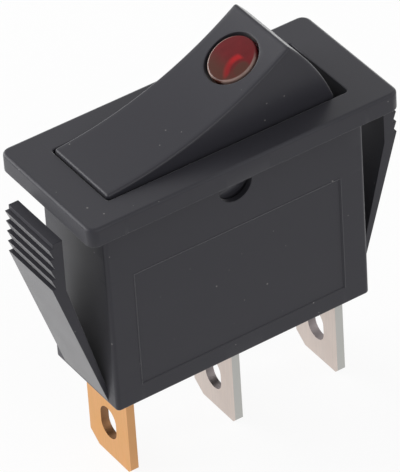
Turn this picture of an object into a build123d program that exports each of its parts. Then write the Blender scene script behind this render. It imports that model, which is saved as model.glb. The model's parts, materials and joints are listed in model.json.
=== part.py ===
from build123d import *
import os
from math import cos, hypot, radians, sin, sqrt

# Illuminated single-pole rocker switch that snaps into a rectangular panel cut-out. Millimetres.
# The origin is the centre of the bezel's underside, which seats on the panel: +Z is out of the panel,
# +X is towards the end of the rocker that carries the lens, and the blades hang down -Z.

# Bezel and body, one moulding
bezel_length = 31.15
bezel_width = 14.0
bezel_thickness = 1.8
bezel_corner_radius = 0.9
bezel_edge_radius = 0.3
body_length = 26.2
body_width = 9.7
body_depth = 20.25
body_corner_radius = 0.4
body_bottom_radius = 0.25
end_wall = 1.0
side_wall = 0.55
floor_thickness = 1.3
cavity_corner_radius = 0.3
recess_length = 20.9
recess_top_drop = 6.5
recess_bottom_drop = 18.4
recess_depth = 0.08

# Snap wings at the two ends
wing_width = 6.8
wing_top_gap = 0.9
wing_reach = 17.55
wing_wall = 0.95
tooth_depth = 0.4
tooth_pitch = 1.06
tooth_count = 5
wing_lead_height = 0.45
wing_heel_drop = 6.2
wing_foot_height = 0.3
wing_root_height = 1.8

# Rocker, drawn about its pivot and level, then tipped to the pressed position
pivot_drop = 2.05
rest_tilt = 19.6
rocker_width = 8.1
rocker_corner_x = 9.85
rocker_corner_height = 7.87
rocker_middle_height = 6.55
rocker_reach = 11.5
rocker_heel_x = 10.6
rocker_heel_drop = 0.9
rocker_apron_x = 2.6
rocker_apron_drop = 2.3
rocker_edge_radius = 0.25
rocker_top_wall = 1.2
rocker_end_wall = 0.9
rocker_skirt_wall = 0.8

# Pivot pins, in blind pockets whose lower half is open through the wall
pin_radius = 1.6
pin_running_clearance = 0.05
pin_end_clearance = 0.05
pin_pocket_depth = 0.35

# Plunger and its spring, in a tube under the middle of the rocker
tube_radius = 2.3
tube_drop = 4.6
tube_web = 0.8
bore_top = 2.6
plunger_radius = 1.5
plunger_running_clearance = 0.05
plunger_tip_drop = 9.0
plunger_tip_radius = 0.8
plunger_neck_drop = 7.0
plunger_top_drop = 1.3
plunger_well_radius = 1.1
plunger_well_drop = 5.6
plunger_spring_wire = 0.28
plunger_spring_radius = 0.78
plunger_spring_turns = 6
spring_end_gap = 0.03

# Lens and the lamp under it
lens_x = 6.17
lens_hole_radius = 2.6
lens_radius = 2.42
lens_dome = 0.35
lens_sink = 0.12
lens_rim_radius = 0.25
lens_flange_radius = 2.9
lens_flange_thickness = 0.5
lens_boss_rim = 0.18
lens_boss_depth = 1.3
lamp_radius = 1.5
lamp_glass = 0.25
lamp_height = 2.9
lamp_left_x = 2.8
lamp_right_x = 8.1
lamp_pinch = 1.2
electrode_radius = 0.3
electrode_length = 2.6
electrode_spacing = 1.2
cradle_thickness = 0.8
cradle_inset = 0.9
cradle_clearance = 0.05
cradle_low = 2.1
cradle_high = 4.4
lead_radius = 0.2
lead_bend = 0.4
lead_side_y = 2.72
lead_low_height = 1.2
ledge_x = 8.8
ledge_low = 0.4
ledge_thickness = 1.0
lead_hook_end_x = 9.6
lead_gap = 0.02
wire_sides = 6
resistor_radius = 0.8
resistor_cap_radius = 0.9
resistor_cap_length = 0.8
resistor_length = 4.0
resistor_inner_x = 3.6
resistor_height = 2.0

# Blades and what they carry inside
blade_end_gap = 0.8
blade_thickness = 0.8
blade_width = 6.3
blade_tip_drop = 29.3
blade_rear_chamfer_width = 1.3
blade_rear_chamfer_height = 1.0
blade_front_chamfer = 0.35
blade_hole_width = 2.4
blade_hole_length = 3.3
blade_hole_drop = 25.6
blade_clearance = 0.05
shoulder_width = 7.2
shoulder_height = 1.5
leg_width = 5.6
shelf_width = 5.0
shelf_bend = 0.4
shelf_overhang = 1.3
guide_reach = 1.1
guide_thickness = 0.7
guide_height = 4.0
ear_width = 1.0
ear_height = 1.5
saddle_clearance = 0.05

# Seesaw contact bridge
bridge_thickness = 0.6
bridge_width = 5.4
bridge_waist = 4.1
bridge_waist_length = 1.7
bridge_arm = 7.7
bridge_rise = 17.5
bridge_swing = 8.0
bridge_vertex_lift = 0.15
bridge_bend_radius = 0.3
bridge_tip_radius = 1.2
plunger_gap = 0.32
ear_side_clearance = 0.1
contact_arm = 6.4
contact_gap = 0.05
rivet_head_radius = 1.2
rivet_head_thickness = 0.35
rivet_dome = 0.2
rivet_shank_radius = 0.6
rivet_tail_radius = 0.9
rivet_tail_thickness = 0.3
post_length = 1.4
post_width = 4.4
pedestal_length = 1.1

# Lamp springs, one on each outer blade's shelf
lamp_spring_wire = 0.25
lamp_spring_radius = 0.65
lamp_spring_turns = 7
pip_radius = 0.42
pip_height = 0.6

# Worked out from the sizes above
cavity_length = body_length - 2 * end_wall
cavity_width = body_width - 2 * side_wall
blade_spacing = cavity_length / 2 - blade_end_gap - blade_thickness / 2
floor_top = floor_thickness - body_depth
bearing_radius = pin_radius + pin_running_clearance
bore_radius = plunger_radius + plunger_running_clearance
arc_radius = (rocker_corner_x ** 2 + (rocker_corner_height - rocker_middle_height) ** 2) \
    / (2 * (rocker_corner_height - rocker_middle_height))
arc_centre = rocker_middle_height + arc_radius
end_centre_x = (rocker_corner_x ** 2 + rocker_corner_height ** 2 - rocker_reach ** 2) \
    / (2 * (rocker_corner_x - rocker_reach))
end_radius = rocker_reach - end_centre_x
skirt_inner = rocker_width / 2 - rocker_skirt_wall
pin_end_y = cavity_width / 2 + pin_pocket_depth - pin_end_clearance
hook_height = ledge_low - lead_gap - lead_radius
spring_seat_x = (ledge_x + lead_hook_end_x) / 2
arm_tilt = bridge_rise - bridge_swing
tip_centre_drop = plunger_tip_drop - plunger_tip_radius
tip_x = tip_centre_drop * sin(radians(rest_tilt))
tip_z = -pivot_drop - tip_centre_drop * cos(radians(rest_tilt))
arm_underside = bridge_vertex_lift * cos(radians(bridge_rise))
bridge_axis_z = tip_z - (
    tip_x * sin(radians(arm_tilt)) + arm_underside + bridge_thickness + plunger_tip_radius + plunger_gap
) / cos(radians(arm_tilt))
dome_radius = (rivet_head_radius ** 2 + rivet_dome ** 2) / (2 * rivet_dome)
dome_centre_lift = arm_underside - rivet_head_thickness - rivet_dome + dome_radius
contact_x = contact_arm * cos(radians(arm_tilt)) - dome_centre_lift * sin(radians(arm_tilt))
contact_face_z = bridge_axis_z + contact_arm * sin(radians(arm_tilt)) \
    + dome_centre_lift * cos(radians(arm_tilt)) - dome_radius - contact_gap
shelf_z = contact_face_z - rivet_head_thickness
saddle_radius = blade_thickness / 2
stop_x = contact_arm - post_length / 2

rocker_pose = Location((0, 0, -pivot_drop), (0, -rest_tilt, 0))
bridge_pose = Location((0, 0, bridge_axis_z), (0, bridge_swing, 0))


def slab(length, width, low, high, x=0.0, y=0.0):
    """Box of a length along X and a width along Y, between two heights."""
    return Pos(x, y, (low + high) / 2) * Box(length, width, high - low)


def rod(radius, low, high, x=0.0, y=0.0):
    """Upright cylinder between two heights."""
    return Pos(x, y, (low + high) / 2) * Cylinder(radius, high - low)


def cross_rod(radius, width, x=0.0, z=0.0):
    """Cylinder lying along Y, centred on the XZ plane."""
    return Pos(x, 0, z) * Rot(90, 0, 0) * Cylinder(radius, width)


def long_rod(radius, start, end, y=0.0, z=0.0):
    """Cylinder lying along X."""
    return Pos((start + end) / 2, y, z) * Rot(0, 90, 0) * Cylinder(radius, end - start)


def side_extrusion(outline, width):
    """Closed outline of XZ edges, carried along Y to both sides of the middle."""
    face = make_face(outline)
    return extrude(face, amount=width / 2, dir=(0, 1, 0), both=True)


def flat_outline(points):
    """Closed XZ outline through corner points."""
    return Polyline(*[(x, 0, z) for x, z in points], close=True)


def mirrored_ends(solid):
    """A solid and its copy at the other end of the switch."""
    return solid + mirror(solid, about=Plane.YZ)


def wire_section(path, radius):
    """Section of a thin wire at the start of its path, with few sides to keep springs and leads light."""
    return Plane(origin=path @ 0, z_dir=path % 0) * RegularPolygon(radius, wire_sides)


def coil(radius, wire, low, high, turns):
    """Upright coil spring whose outer ends lie at two heights."""
    height = high - low - wire
    path = Helix(pitch=height / turns, height=height, radius=radius)
    spring = sweep(wire_section(path, wire / 2), path=path, is_frenet=True)
    return Pos(0, 0, low + wire / 2) * spring


def wire_along(points):
    """Lead with rounded bends through corner points."""
    path = FilletPolyline(*points, radius=lead_bend)
    return sweep(wire_section(path, lead_radius), path=path)


# Housing

def bezel():
    """Flange that hides the cut-out's edge."""
    plate = slab(bezel_length, bezel_width, 0, bezel_thickness)
    plate = fillet(plate.edges().filter_by(Axis.Z), bezel_corner_radius)
    return fillet(plate.faces().sort_by(Axis.Z)[-1].edges(), bezel_edge_radius)


def body_block():
    """Body below the bezel, before it is hollowed."""
    block = slab(body_length, body_width, -body_depth, bezel_thickness / 2)
    block = fillet(block.edges().filter_by(Axis.Z), body_corner_radius)
    return fillet(block.faces().sort_by(Axis.Z)[0].edges(), body_bottom_radius)


def cavity():
    """Hollow from the floor up through the bezel."""
    hollow = slab(cavity_length, cavity_width, floor_top, 2 * bezel_thickness)
    return fillet(hollow.edges().filter_by(Axis.Z), cavity_corner_radius)


def face_recesses():
    """Shallow rectangular fields sunk into both long faces."""
    field = slab(recess_length, 2 * recess_depth, -recess_bottom_drop, -recess_top_drop)
    return Pos(0, body_width / 2, 0) * field + Pos(0, -body_width / 2, 0) * field


def pivot_pockets():
    """Round pockets for the pins inside both long walls, open through the wall below the pin's middle."""
    pockets = cross_rod(bearing_radius, cavity_width + 2 * pin_pocket_depth, z=-pivot_drop)
    windows = cross_rod(bearing_radius, 2 * body_width, z=-pivot_drop)
    lower_half = slab(body_length, 3 * body_width, -pivot_drop - 2 * bearing_radius, -pivot_drop)
    return pockets + (windows & lower_half)


def wing():
    """Snap wing at the +X end: rooted at the foot of the body, with saw teeth at its free top."""
    inner = wing_reach - tooth_depth - wing_wall
    valley = wing_reach - tooth_depth
    crest_z = -wing_top_gap - wing_lead_height
    outline = [(inner, -wing_top_gap), (valley, -wing_top_gap)]
    for _ in range(tooth_count):
        outline += [(valley, crest_z), (wing_reach, crest_z)]
        crest_z -= tooth_pitch
    foot = body_length / 2 - end_wall / 2
    outline += [
        (body_length / 2, -body_depth + wing_foot_height),
        (foot, -body_depth + wing_foot_height),
        (foot, -body_depth + wing_root_height),
        (body_length / 2, -body_depth + wing_root_height),
        (inner, -wing_heel_drop),
    ]
    return side_extrusion(flat_outline(outline), wing_width)


def blade_slots():
    """Slots in the floor that the three blades pass through."""
    slot = slab(blade_thickness + 2 * blade_clearance, blade_width + 2 * blade_clearance,
                -body_depth - floor_thickness, floor_top + floor_thickness)
    return slot + mirrored_ends(Pos(blade_spacing, 0, 0) * slot)


def blade_guides():
    """Pairs of ribs on both side walls that keep each blade's edges upright."""
    gap = blade_thickness / 2 + blade_clearance
    rib = slab(guide_thickness, guide_reach, floor_top, floor_top + guide_height,
               x=gap + guide_thickness / 2, y=(cavity_width - guide_reach) / 2)
    ribs = rib + mirror(rib, about=Plane.XZ)
    pair = ribs + mirror(ribs, about=Plane.YZ)
    outer = ribs + Pos(-2 * gap - guide_thickness, 0, 0) * ribs
    return pair + mirrored_ends(Pos(blade_spacing, 0, 0) * outer)


def inner_posts():
    """Stop for the open arm of the bridge, and a pedestal under each blade's shelf."""
    stop_top = bridge_axis_z + arm_underside / cos(radians(arm_tilt)) \
        + (contact_arm - post_length) * sin(radians(arm_tilt)) / cos(radians(arm_tilt)) - contact_gap
    stop = slab(post_length, post_width, floor_top, stop_top, x=-stop_x)
    pedestal_x = contact_x + rivet_head_radius + pedestal_length / 2
    pedestal = slab(pedestal_length, post_width, floor_top, shelf_z - blade_thickness, x=pedestal_x)
    return stop + mirrored_ends(pedestal)


def housing():
    """Bezel, body, wings and the inside of the body, moulded as one piece."""
    shell = bezel() + body_block() + mirrored_ends(wing())
    shell = shell - cavity() - face_recesses() - pivot_pockets()
    return shell + blade_guides() + inner_posts() - blade_slots()


# Rocker

def rocker_outline():
    """Side view of the rocker, level: hollowed top, round ends and a skirt that drops at the pivot."""
    corner = (rocker_corner_x, 0, rocker_corner_height)
    toe = (rocker_reach, 0, 0)
    half_angle_x = (rocker_corner_x + rocker_reach) / 2 - end_centre_x
    scale = end_radius / hypot(half_angle_x, rocker_corner_height / 2)
    belly = (end_centre_x + half_angle_x * scale, 0, rocker_corner_height / 2 * scale)
    low = [(rocker_reach, 0, 0), (rocker_heel_x, 0, -rocker_heel_drop),
           (rocker_apron_x, 0, -rocker_apron_drop)]
    left = [(-x, 0, z) for x, _, z in reversed(low)]
    return [
        ThreePointArc((-rocker_corner_x, 0, rocker_corner_height), (0, 0, rocker_middle_height), corner),
        ThreePointArc(corner, belly, toe),
        Polyline(*low, *left),
        ThreePointArc((-rocker_reach, 0, 0), (-belly[0], 0, belly[2]), (-rocker_corner_x, 0, corner[2])),
    ]


def rocker_shell():
    """Outside of the rocker with its touch edges eased."""
    block = side_extrusion(rocker_outline(), rocker_width)
    upper = [edge for edge in block.edges() if edge.center().Z > pin_radius]
    return fillet(upper, rocker_edge_radius)


def rocker_hollow():
    """Space between the skirts, under a top wall of even thickness."""
    depth = 2 * rocker_apron_drop
    inner_width = 2 * skirt_inner
    below_top = cross_rod(arc_radius + rocker_top_wall, 2 * rocker_width, z=arc_centre)
    inner_end = end_radius - rocker_end_wall
    between_ends = cross_rod(inner_end, inner_width, x=end_centre_x) \
        & cross_rod(inner_end, inner_width, x=-end_centre_x)
    drop = slab(2 * (rocker_reach - rocker_end_wall), inner_width, -depth, 0)
    return (between_ends & slab(2 * rocker_reach, inner_width, 0, rocker_corner_height)) - below_top + drop


def pivot_pins():
    """Pins on both skirts, with the lower half of each end cut back so that it snaps past the wall."""
    pins = cross_rod(pin_radius, 2 * pin_end_y)
    pins -= slab(4 * pin_radius, 2 * skirt_inner, -pin_radius, pin_radius)
    side = pin_end_y
    root = rocker_width / 2
    lead_in = Polyline((0, side, 0), (0, root, -pin_radius), (0, side, -pin_radius), close=True)
    wedge = extrude(make_face(lead_in), amount=pin_radius, dir=(1, 0, 0), both=True)
    return pins - wedge - mirror(wedge, about=Plane.XZ)


def plunger_tube():
    """Tube for the plunger under the top wall, tied to both skirts."""
    tube = rod(tube_radius, -tube_drop, rocker_middle_height - rocker_top_wall / 2)
    web = slab(tube_web, 2 * skirt_inner, bore_top, rocker_middle_height - rocker_top_wall / 2)
    return tube + web


def lens_location():
    """Place on the hollow top where the lens sits square to the surface."""
    slope = Vector(-lens_x, 0, sqrt(arc_radius ** 2 - lens_x ** 2))
    surface_z = arc_centre - sqrt(arc_radius ** 2 - lens_x ** 2)
    return Plane(origin=(lens_x, 0, surface_z), x_dir=(slope.Z, 0, -slope.X), z_dir=slope).location


def lamp_cradle():
    """Cheeks on both skirts that hold the sides of the lamp."""
    cheek = slab(cradle_thickness, 2 * skirt_inner, cradle_low, cradle_high)
    places = (lamp_left_x + cradle_inset, lamp_right_x - cradle_inset)
    cheeks = Part() + [Pos(x, 0, 0) * cheek for x in places]
    seat = long_rod(lamp_radius + cradle_clearance, 0, rocker_reach, z=lamp_height)
    room = slab(rocker_reach, 2 * lamp_radius + 2 * cradle_clearance, 0, lamp_height, x=rocker_reach / 2)
    return cheeks - seat - room


def spring_ledges():
    """Ledges inside both ends that the lamp's leads hook under, above the lamp springs."""
    ledge = slab(rocker_reach - rocker_end_wall / 2 - ledge_x, 2 * skirt_inner, ledge_low,
                 ledge_low + ledge_thickness, x=(rocker_reach - rocker_end_wall / 2 + ledge_x) / 2)
    return mirrored_ends(ledge)


def rocker():
    """Rocker with its pins, plunger tube, lens hole, lamp cradle and spring ledges."""
    place = lens_location()
    boss = place * rod(lens_flange_radius + lens_boss_rim, -lens_boss_depth, 0)
    solid = rocker_shell() - rocker_hollow()
    solid += (boss & slab(2 * rocker_reach, 2 * skirt_inner, 0, arc_centre)
              & side_extrusion(rocker_outline(), rocker_width))
    solid += plunger_tube() + lamp_cradle() + spring_ledges() + pivot_pins()
    solid -= rod(bore_radius, -2 * tube_drop, bore_top)
    return solid - place * rod(lens_hole_radius, -2 * lens_boss_depth, 2 * lens_boss_depth)


def lens():
    """Domed jewel with a flange that bears on the boss under the top wall."""
    top = -lens_sink
    dome_radius_of_lens = (lens_radius ** 2 + lens_dome ** 2) / (2 * lens_dome)
    barrel = rod(lens_radius, -lens_boss_depth, top)
    cap = Pos(0, 0, top - dome_radius_of_lens) * Sphere(dome_radius_of_lens)
    barrel = barrel & cap
    rims = barrel.edges().filter_by(GeomType.CIRCLE).filter_by(
        lambda edge: abs(edge.radius - lens_radius) < lens_dome / 10)
    barrel = fillet(rims.sort_by(Axis.Z)[-1], lens_rim_radius)
    flange = rod(lens_flange_radius, -lens_boss_depth - lens_flange_thickness, -lens_boss_depth)
    return lens_location() * (barrel + flange)


def lead_y():
    """Sideways place of each lead in the lamp's pinch."""
    return electrode_spacing / 2


def lamp_lead_to_load():
    """Lead from the lamp's front electrode, hooked under the ledge at the lens end."""
    exit_x = ledge_x - lead_gap - lead_radius
    return wire_along([
        (lamp_right_x - lamp_pinch, -lead_y(), lamp_height),
        (exit_x, -lead_y(), lamp_height),
        (exit_x, -lead_y(), hook_height),
        (lead_hook_end_x, -lead_y(), hook_height),
    ])


def lamp_lead_to_resistor():
    """Lead from the rear electrode, down beside the lamp and past the plunger tube to the resistor."""
    exit_x = ledge_x - lead_gap - lead_radius
    return wire_along([
        (lamp_right_x - lamp_pinch, lead_y(), lamp_height),
        (exit_x, lead_y(), lamp_height),
        (exit_x, lead_side_y, lead_low_height),
        (-resistor_inner_x / 2, lead_side_y, lead_low_height),
        (-resistor_inner_x + lead_bend, 0, resistor_height),
        (-resistor_inner_x, 0, resistor_height),
    ])


def resistor_lead():
    """Lead from the resistor, hooked under the ledge at the plain end."""
    exit_x = -ledge_x + lead_gap + lead_radius
    return wire_along([
        (-resistor_inner_x - resistor_length, 0, resistor_height),
        (exit_x, 0, resistor_height),
        (exit_x, 0, hook_height),
        (-lead_hook_end_x, 0, hook_height),
    ])


def lamp_bulb():
    """Hollow glass envelope with a round tip, sealed round the two leads at its pinch."""
    body_end = lamp_right_x
    tip = lamp_left_x + lamp_radius
    outside = long_rod(lamp_radius, tip, body_end, z=lamp_height) \
        + Pos(tip, 0, lamp_height) * Sphere(lamp_radius)
    bore = lamp_radius - lamp_glass
    inside = long_rod(bore, tip, body_end - lamp_pinch, z=lamp_height) \
        + Pos(tip, 0, lamp_height) * Sphere(bore)
    return outside - inside - lamp_lead_to_load() - lamp_lead_to_resistor()


def electrode(side):
    """Nickel rod standing on the end of a lead inside the bulb."""
    base = lamp_right_x - lamp_pinch
    return long_rod(electrode_radius, base - electrode_length, base, y=side * lead_y(), z=lamp_height)


def resistor_core():
    """Ceramic rod of the series resistor."""
    start = -resistor_inner_x - resistor_length
    return long_rod(resistor_radius, start + resistor_cap_length, -resistor_inner_x - resistor_cap_length,
                    z=resistor_height)


def resistor_caps():
    """Round end caps of the series resistor."""
    far = -resistor_inner_x - resistor_length
    caps = Part() + [
        long_rod(resistor_cap_radius, far, far + resistor_cap_length, z=resistor_height),
        long_rod(resistor_cap_radius, -resistor_inner_x - resistor_cap_length, -resistor_inner_x,
                 z=resistor_height),
    ]
    return caps


def plunger():
    """Plunger with a round tip and a well for its spring."""
    barrel = rod(plunger_radius, -plunger_neck_drop, -plunger_top_drop)
    neck_drop = tip_centre_drop
    neck = Pos(0, 0, -(plunger_neck_drop + neck_drop) / 2) * Cone(
        plunger_tip_radius, plunger_radius, neck_drop - plunger_neck_drop)
    tip = Pos(0, 0, -tip_centre_drop) * Sphere(plunger_tip_radius)
    return barrel + neck + tip - rod(plunger_well_radius, -plunger_well_drop, 0)


def plunger_spring():
    """Compression spring from the plunger's well to the top of the bore."""
    return coil(plunger_spring_radius, plunger_spring_wire, spring_end_gap - plunger_well_drop,
                bore_top - spring_end_gap, plunger_spring_turns)


# Contact bridge, drawn level about its rocking axis

def arm_face(thickness_low, thickness_high):
    """V-shaped side view of a strip between two distances from the arms' underside."""
    rise = radians(bridge_rise)
    lift_low = bridge_vertex_lift + thickness_low / cos(rise)
    lift_high = bridge_vertex_lift + thickness_high / cos(rise)
    end = bridge_arm * cos(rise)
    slope = sin(rise) / cos(rise)
    lean_low = thickness_low * sin(rise)
    lean_high = thickness_high * sin(rise)
    right = [(end - lean_low, lift_low + (end - lean_low) * slope),
             (end - lean_high, lift_high + (end - lean_high) * slope)]
    left = [(-x, z) for x, z in reversed(right)]
    return flat_outline([(0, lift_low), *right, (0, lift_high), *left])


def contact_bridge():
    """Bent strip that rocks on the middle blade, waisted between the blade's ears."""
    strip = side_extrusion(arm_face(0, bridge_thickness), bridge_width)
    crease = strip.edges().filter_by(Axis.Y).sort_by(lambda edge: abs(edge.center().X))[:2]
    strip = fillet(crease.sort_by(Axis.Z)[-1], bridge_bend_radius)
    ends = strip.edges().filter_by(lambda edge: abs(edge.center().X) > contact_arm
                                   and abs(edge.center().Y) > bridge_width / 2 - rivet_shank_radius
                                   and abs(edge.length - bridge_thickness) < bridge_thickness / 10)
    strip = fillet(ends, bridge_tip_radius)
    notch = slab(bridge_waist_length, bridge_width, 0, bridge_width,
                 y=(bridge_waist + bridge_width) / 2)
    strip -= notch + mirror(notch, about=Plane.XZ)
    strip -= cross_rod(saddle_radius + saddle_clearance, 2 * bridge_width)
    strip -= arm_place() * rod(rivet_shank_radius, -bridge_thickness, 2 * bridge_thickness)
    return strip


def arm_place():
    """Place of the moving contact: on the underside of the +X arm, square to it."""
    rise = radians(bridge_rise)
    along = Vector(cos(rise), 0, sin(rise))
    normal = Vector(-sin(rise), 0, cos(rise))
    return Plane(origin=along * contact_arm + normal * arm_underside, x_dir=along, z_dir=normal).location


def moving_contact():
    """Rivet with a domed head under the bridge's arm."""
    head_low = -rivet_head_thickness - rivet_dome
    ball = Pos(0, 0, head_low + dome_radius) * Sphere(dome_radius)
    head = rod(rivet_head_radius, head_low, 0) & ball
    shank = rod(rivet_shank_radius, -rivet_dome, bridge_thickness + rivet_dome)
    tail = rod(rivet_tail_radius, bridge_thickness, bridge_thickness + rivet_tail_thickness)
    return arm_place() * (head + shank + tail)


# Blades, each in its working place

def blade(x, top):
    """Blade below the floor with chamfered corners and an oblong hole, up to a height inside."""
    height = blade_tip_drop + top
    side = blade_width / 2
    foot = -height / 2
    face = make_face(Polyline(
        (-side, -foot), (-side, foot + blade_front_chamfer), (blade_front_chamfer - side, foot),
        (side - blade_rear_chamfer_width, foot), (side, foot + blade_rear_chamfer_height), (side, -foot),
        close=True,
    ))
    hole = Pos(0, blade_tip_drop - blade_hole_drop - height / 2) * SlotOverall(
        blade_hole_length, blade_hole_width, rotation=90)
    plane = Plane(origin=(x, 0, top - height / 2), x_dir=(0, 1, 0), z_dir=(1, 0, 0))
    return extrude(plane * (face - hole), amount=blade_thickness / 2, both=True)


def shoulder(x):
    """Wider part of a blade that sits on the floor."""
    return slab(blade_thickness, shoulder_width, floor_top, floor_top + shoulder_height, x=x)


def common_terminal():
    """Middle blade, forked at its top: a round saddle for the bridge between two ears."""
    gap = bridge_waist + 2 * ear_side_clearance
    fork = slab(blade_thickness, gap + 2 * ear_width, floor_top, bridge_axis_z + ear_height)
    fork -= slab(2 * blade_thickness, gap, bridge_axis_z, bridge_axis_z + 2 * ear_height)
    fork = fillet(fork.edges().filter_by(Axis.X).group_by(Axis.Z)[-1], ear_width / 3)
    return blade(0, floor_top) + shoulder(0) + fork + cross_rod(saddle_radius, gap)\
        .moved(Location((0, 0, bridge_axis_z)))


def shelved_blade(shelf_end):
    """Outer blade at +X, bent over inside into a shelf that reaches towards the middle."""
    outer = blade_spacing + blade_thickness / 2
    inner = outer - blade_thickness
    outline = flat_outline([
        (inner, floor_top), (outer, floor_top), (outer, shelf_z), (shelf_end, shelf_z),
        (shelf_end, shelf_z - blade_thickness), (inner, shelf_z - blade_thickness),
    ])
    bent = side_extrusion(outline, shelf_width)
    corners = bent.edges().filter_by(Axis.Y).filter_by(lambda edge: edge.center().Z > floor_top + shelf_bend
                                                       and edge.center().X > inner - shelf_bend)
    corners = corners.sort_by(Axis.Z)
    bent = fillet(corners[-1], shelf_bend + blade_thickness)
    inside = bent.edges().filter_by(Axis.Y).sort_by(
        lambda edge: hypot(edge.center().X - inner, edge.center().Z - shelf_z + blade_thickness))[0]
    bent = fillet(inside, shelf_bend)
    leg = slab(blade_thickness, leg_width, floor_top, floor_top + guide_height, x=blade_spacing)
    pip = rod(pip_radius, shelf_z, shelf_z + pip_height, x=lamp_spring_x(1))
    return blade(blade_spacing, floor_top) + shoulder(blade_spacing) + leg + bent + pip


def load_terminal():
    """Blade at the lens end, whose shelf carries the fixed contact and a lamp spring."""
    solid = shelved_blade(contact_x - shelf_overhang)
    hole = rod(rivet_shank_radius, shelf_z - 2 * blade_thickness, shelf_z + blade_thickness, x=contact_x)
    return solid - hole


def lamp_terminal():
    """Blade at the plain end, whose short shelf carries the other lamp spring."""
    solid = shelved_blade(lamp_spring_x(1) - lamp_spring_radius - lamp_spring_wire)
    return mirror(solid, about=Plane.YZ)


def fixed_contact():
    """Rivet with a flat head on the load blade's shelf."""
    head = rod(rivet_head_radius, shelf_z, shelf_z + rivet_head_thickness, x=contact_x)
    shank = rod(rivet_shank_radius, shelf_z - blade_thickness - rivet_dome, shelf_z + rivet_dome, x=contact_x)
    under = shelf_z - blade_thickness
    return head + shank + rod(rivet_tail_radius, under - rivet_tail_thickness, under, x=contact_x)


def lamp_spring_x(side):
    """Distance of a lamp spring from the middle, under its ledge."""
    tilt = radians(rest_tilt)
    return spring_seat_x * cos(tilt) - side * (hook_height - lead_radius) * sin(tilt)


def lamp_spring(side):
    """Spring from a blade's shelf to the hooked lead above it, at the lens end or the plain end."""
    tilt = radians(rest_tilt)
    seat = -pivot_drop + side * spring_seat_x * sin(tilt) + (hook_height - lead_radius) * cos(tilt)
    slack = lamp_spring_radius * sin(tilt) + lamp_spring_wire / 2
    spring = coil(lamp_spring_radius, lamp_spring_wire, shelf_z + spring_end_gap, seat - slack,
                  lamp_spring_turns)
    return Pos(side * lamp_spring_x(1), 0, 0) * spring


parts = {
    "housing": housing(),
    "rocker": rocker_pose * rocker(),
    "lens": rocker_pose * lens(),
    "lamp_bulb": rocker_pose * lamp_bulb(),
    "lamp_electrode_front": rocker_pose * electrode(-1),
    "lamp_electrode_rear": rocker_pose * electrode(1),
    "lamp_lead_to_load": rocker_pose * lamp_lead_to_load(),
    "lamp_lead_to_resistor": rocker_pose * lamp_lead_to_resistor(),
    "resistor_core": rocker_pose * resistor_core(),
    "resistor_caps": rocker_pose * resistor_caps(),
    "resistor_lead": rocker_pose * resistor_lead(),
    "plunger": rocker_pose * plunger(),
    "plunger_spring": rocker_pose * plunger_spring(),
    "contact_bridge": bridge_pose * contact_bridge(),
    "moving_contact": bridge_pose * moving_contact(),
    "common_terminal": common_terminal(),
    "load_terminal": load_terminal(),
    "fixed_contact": fixed_contact(),
    "lamp_terminal": lamp_terminal(),
    "load_lamp_spring": lamp_spring(1),
    "neutral_lamp_spring": lamp_spring(-1),
}

os.makedirs("parts", exist_ok=True)
for name, solid in parts.items():
    solid.label = name
    export_step(solid, f"parts/{name}.step")
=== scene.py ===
import json
from math import asin, atan2, cos, hypot, pi, radians, sin, sqrt

import bmesh
import bpy
import numpy as np
from bpy.props import FloatProperty, FloatVectorProperty, IntProperty, PointerProperty
from mathutils import Matrix, Vector


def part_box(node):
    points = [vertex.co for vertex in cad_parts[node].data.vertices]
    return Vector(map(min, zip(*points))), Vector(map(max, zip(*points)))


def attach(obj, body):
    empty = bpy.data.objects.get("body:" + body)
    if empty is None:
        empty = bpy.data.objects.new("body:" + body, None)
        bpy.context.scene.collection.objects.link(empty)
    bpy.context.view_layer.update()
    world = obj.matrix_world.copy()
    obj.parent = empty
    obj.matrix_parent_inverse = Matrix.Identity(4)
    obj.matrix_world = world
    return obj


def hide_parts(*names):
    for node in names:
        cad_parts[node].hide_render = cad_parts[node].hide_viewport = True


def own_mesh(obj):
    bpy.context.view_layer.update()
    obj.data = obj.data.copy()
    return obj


bl_info = {
    "name": "Illuminated rocker switch",
    "version": (1, 0, 0),
    "blender": (4, 5, 0),
    "location": "3D View > Sidebar > Rocker switch",
    "description": "Builds a narrow snap-in rocker switch with a red jewel, its blades and springs, and a stage",
    "category": "Object",
}

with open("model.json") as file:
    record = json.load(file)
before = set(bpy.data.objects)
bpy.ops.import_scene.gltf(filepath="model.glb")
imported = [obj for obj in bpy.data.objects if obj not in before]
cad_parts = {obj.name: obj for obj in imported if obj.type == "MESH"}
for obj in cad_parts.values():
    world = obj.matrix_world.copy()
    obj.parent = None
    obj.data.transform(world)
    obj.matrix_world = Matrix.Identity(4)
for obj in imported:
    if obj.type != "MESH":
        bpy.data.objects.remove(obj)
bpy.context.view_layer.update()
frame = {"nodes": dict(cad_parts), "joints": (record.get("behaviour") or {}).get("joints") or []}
blade_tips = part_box("common_terminal")[0].z
joints = {joint["name"]: joint for joint in frame["joints"]}
pivot_height = joints["rocker_tilt"]["pos_m"][2]
full_tilt = radians(joints["rocker_tilt"]["range_deg"][1])
rest_tilt = full_tilt / 2
MM = 0.001

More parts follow.
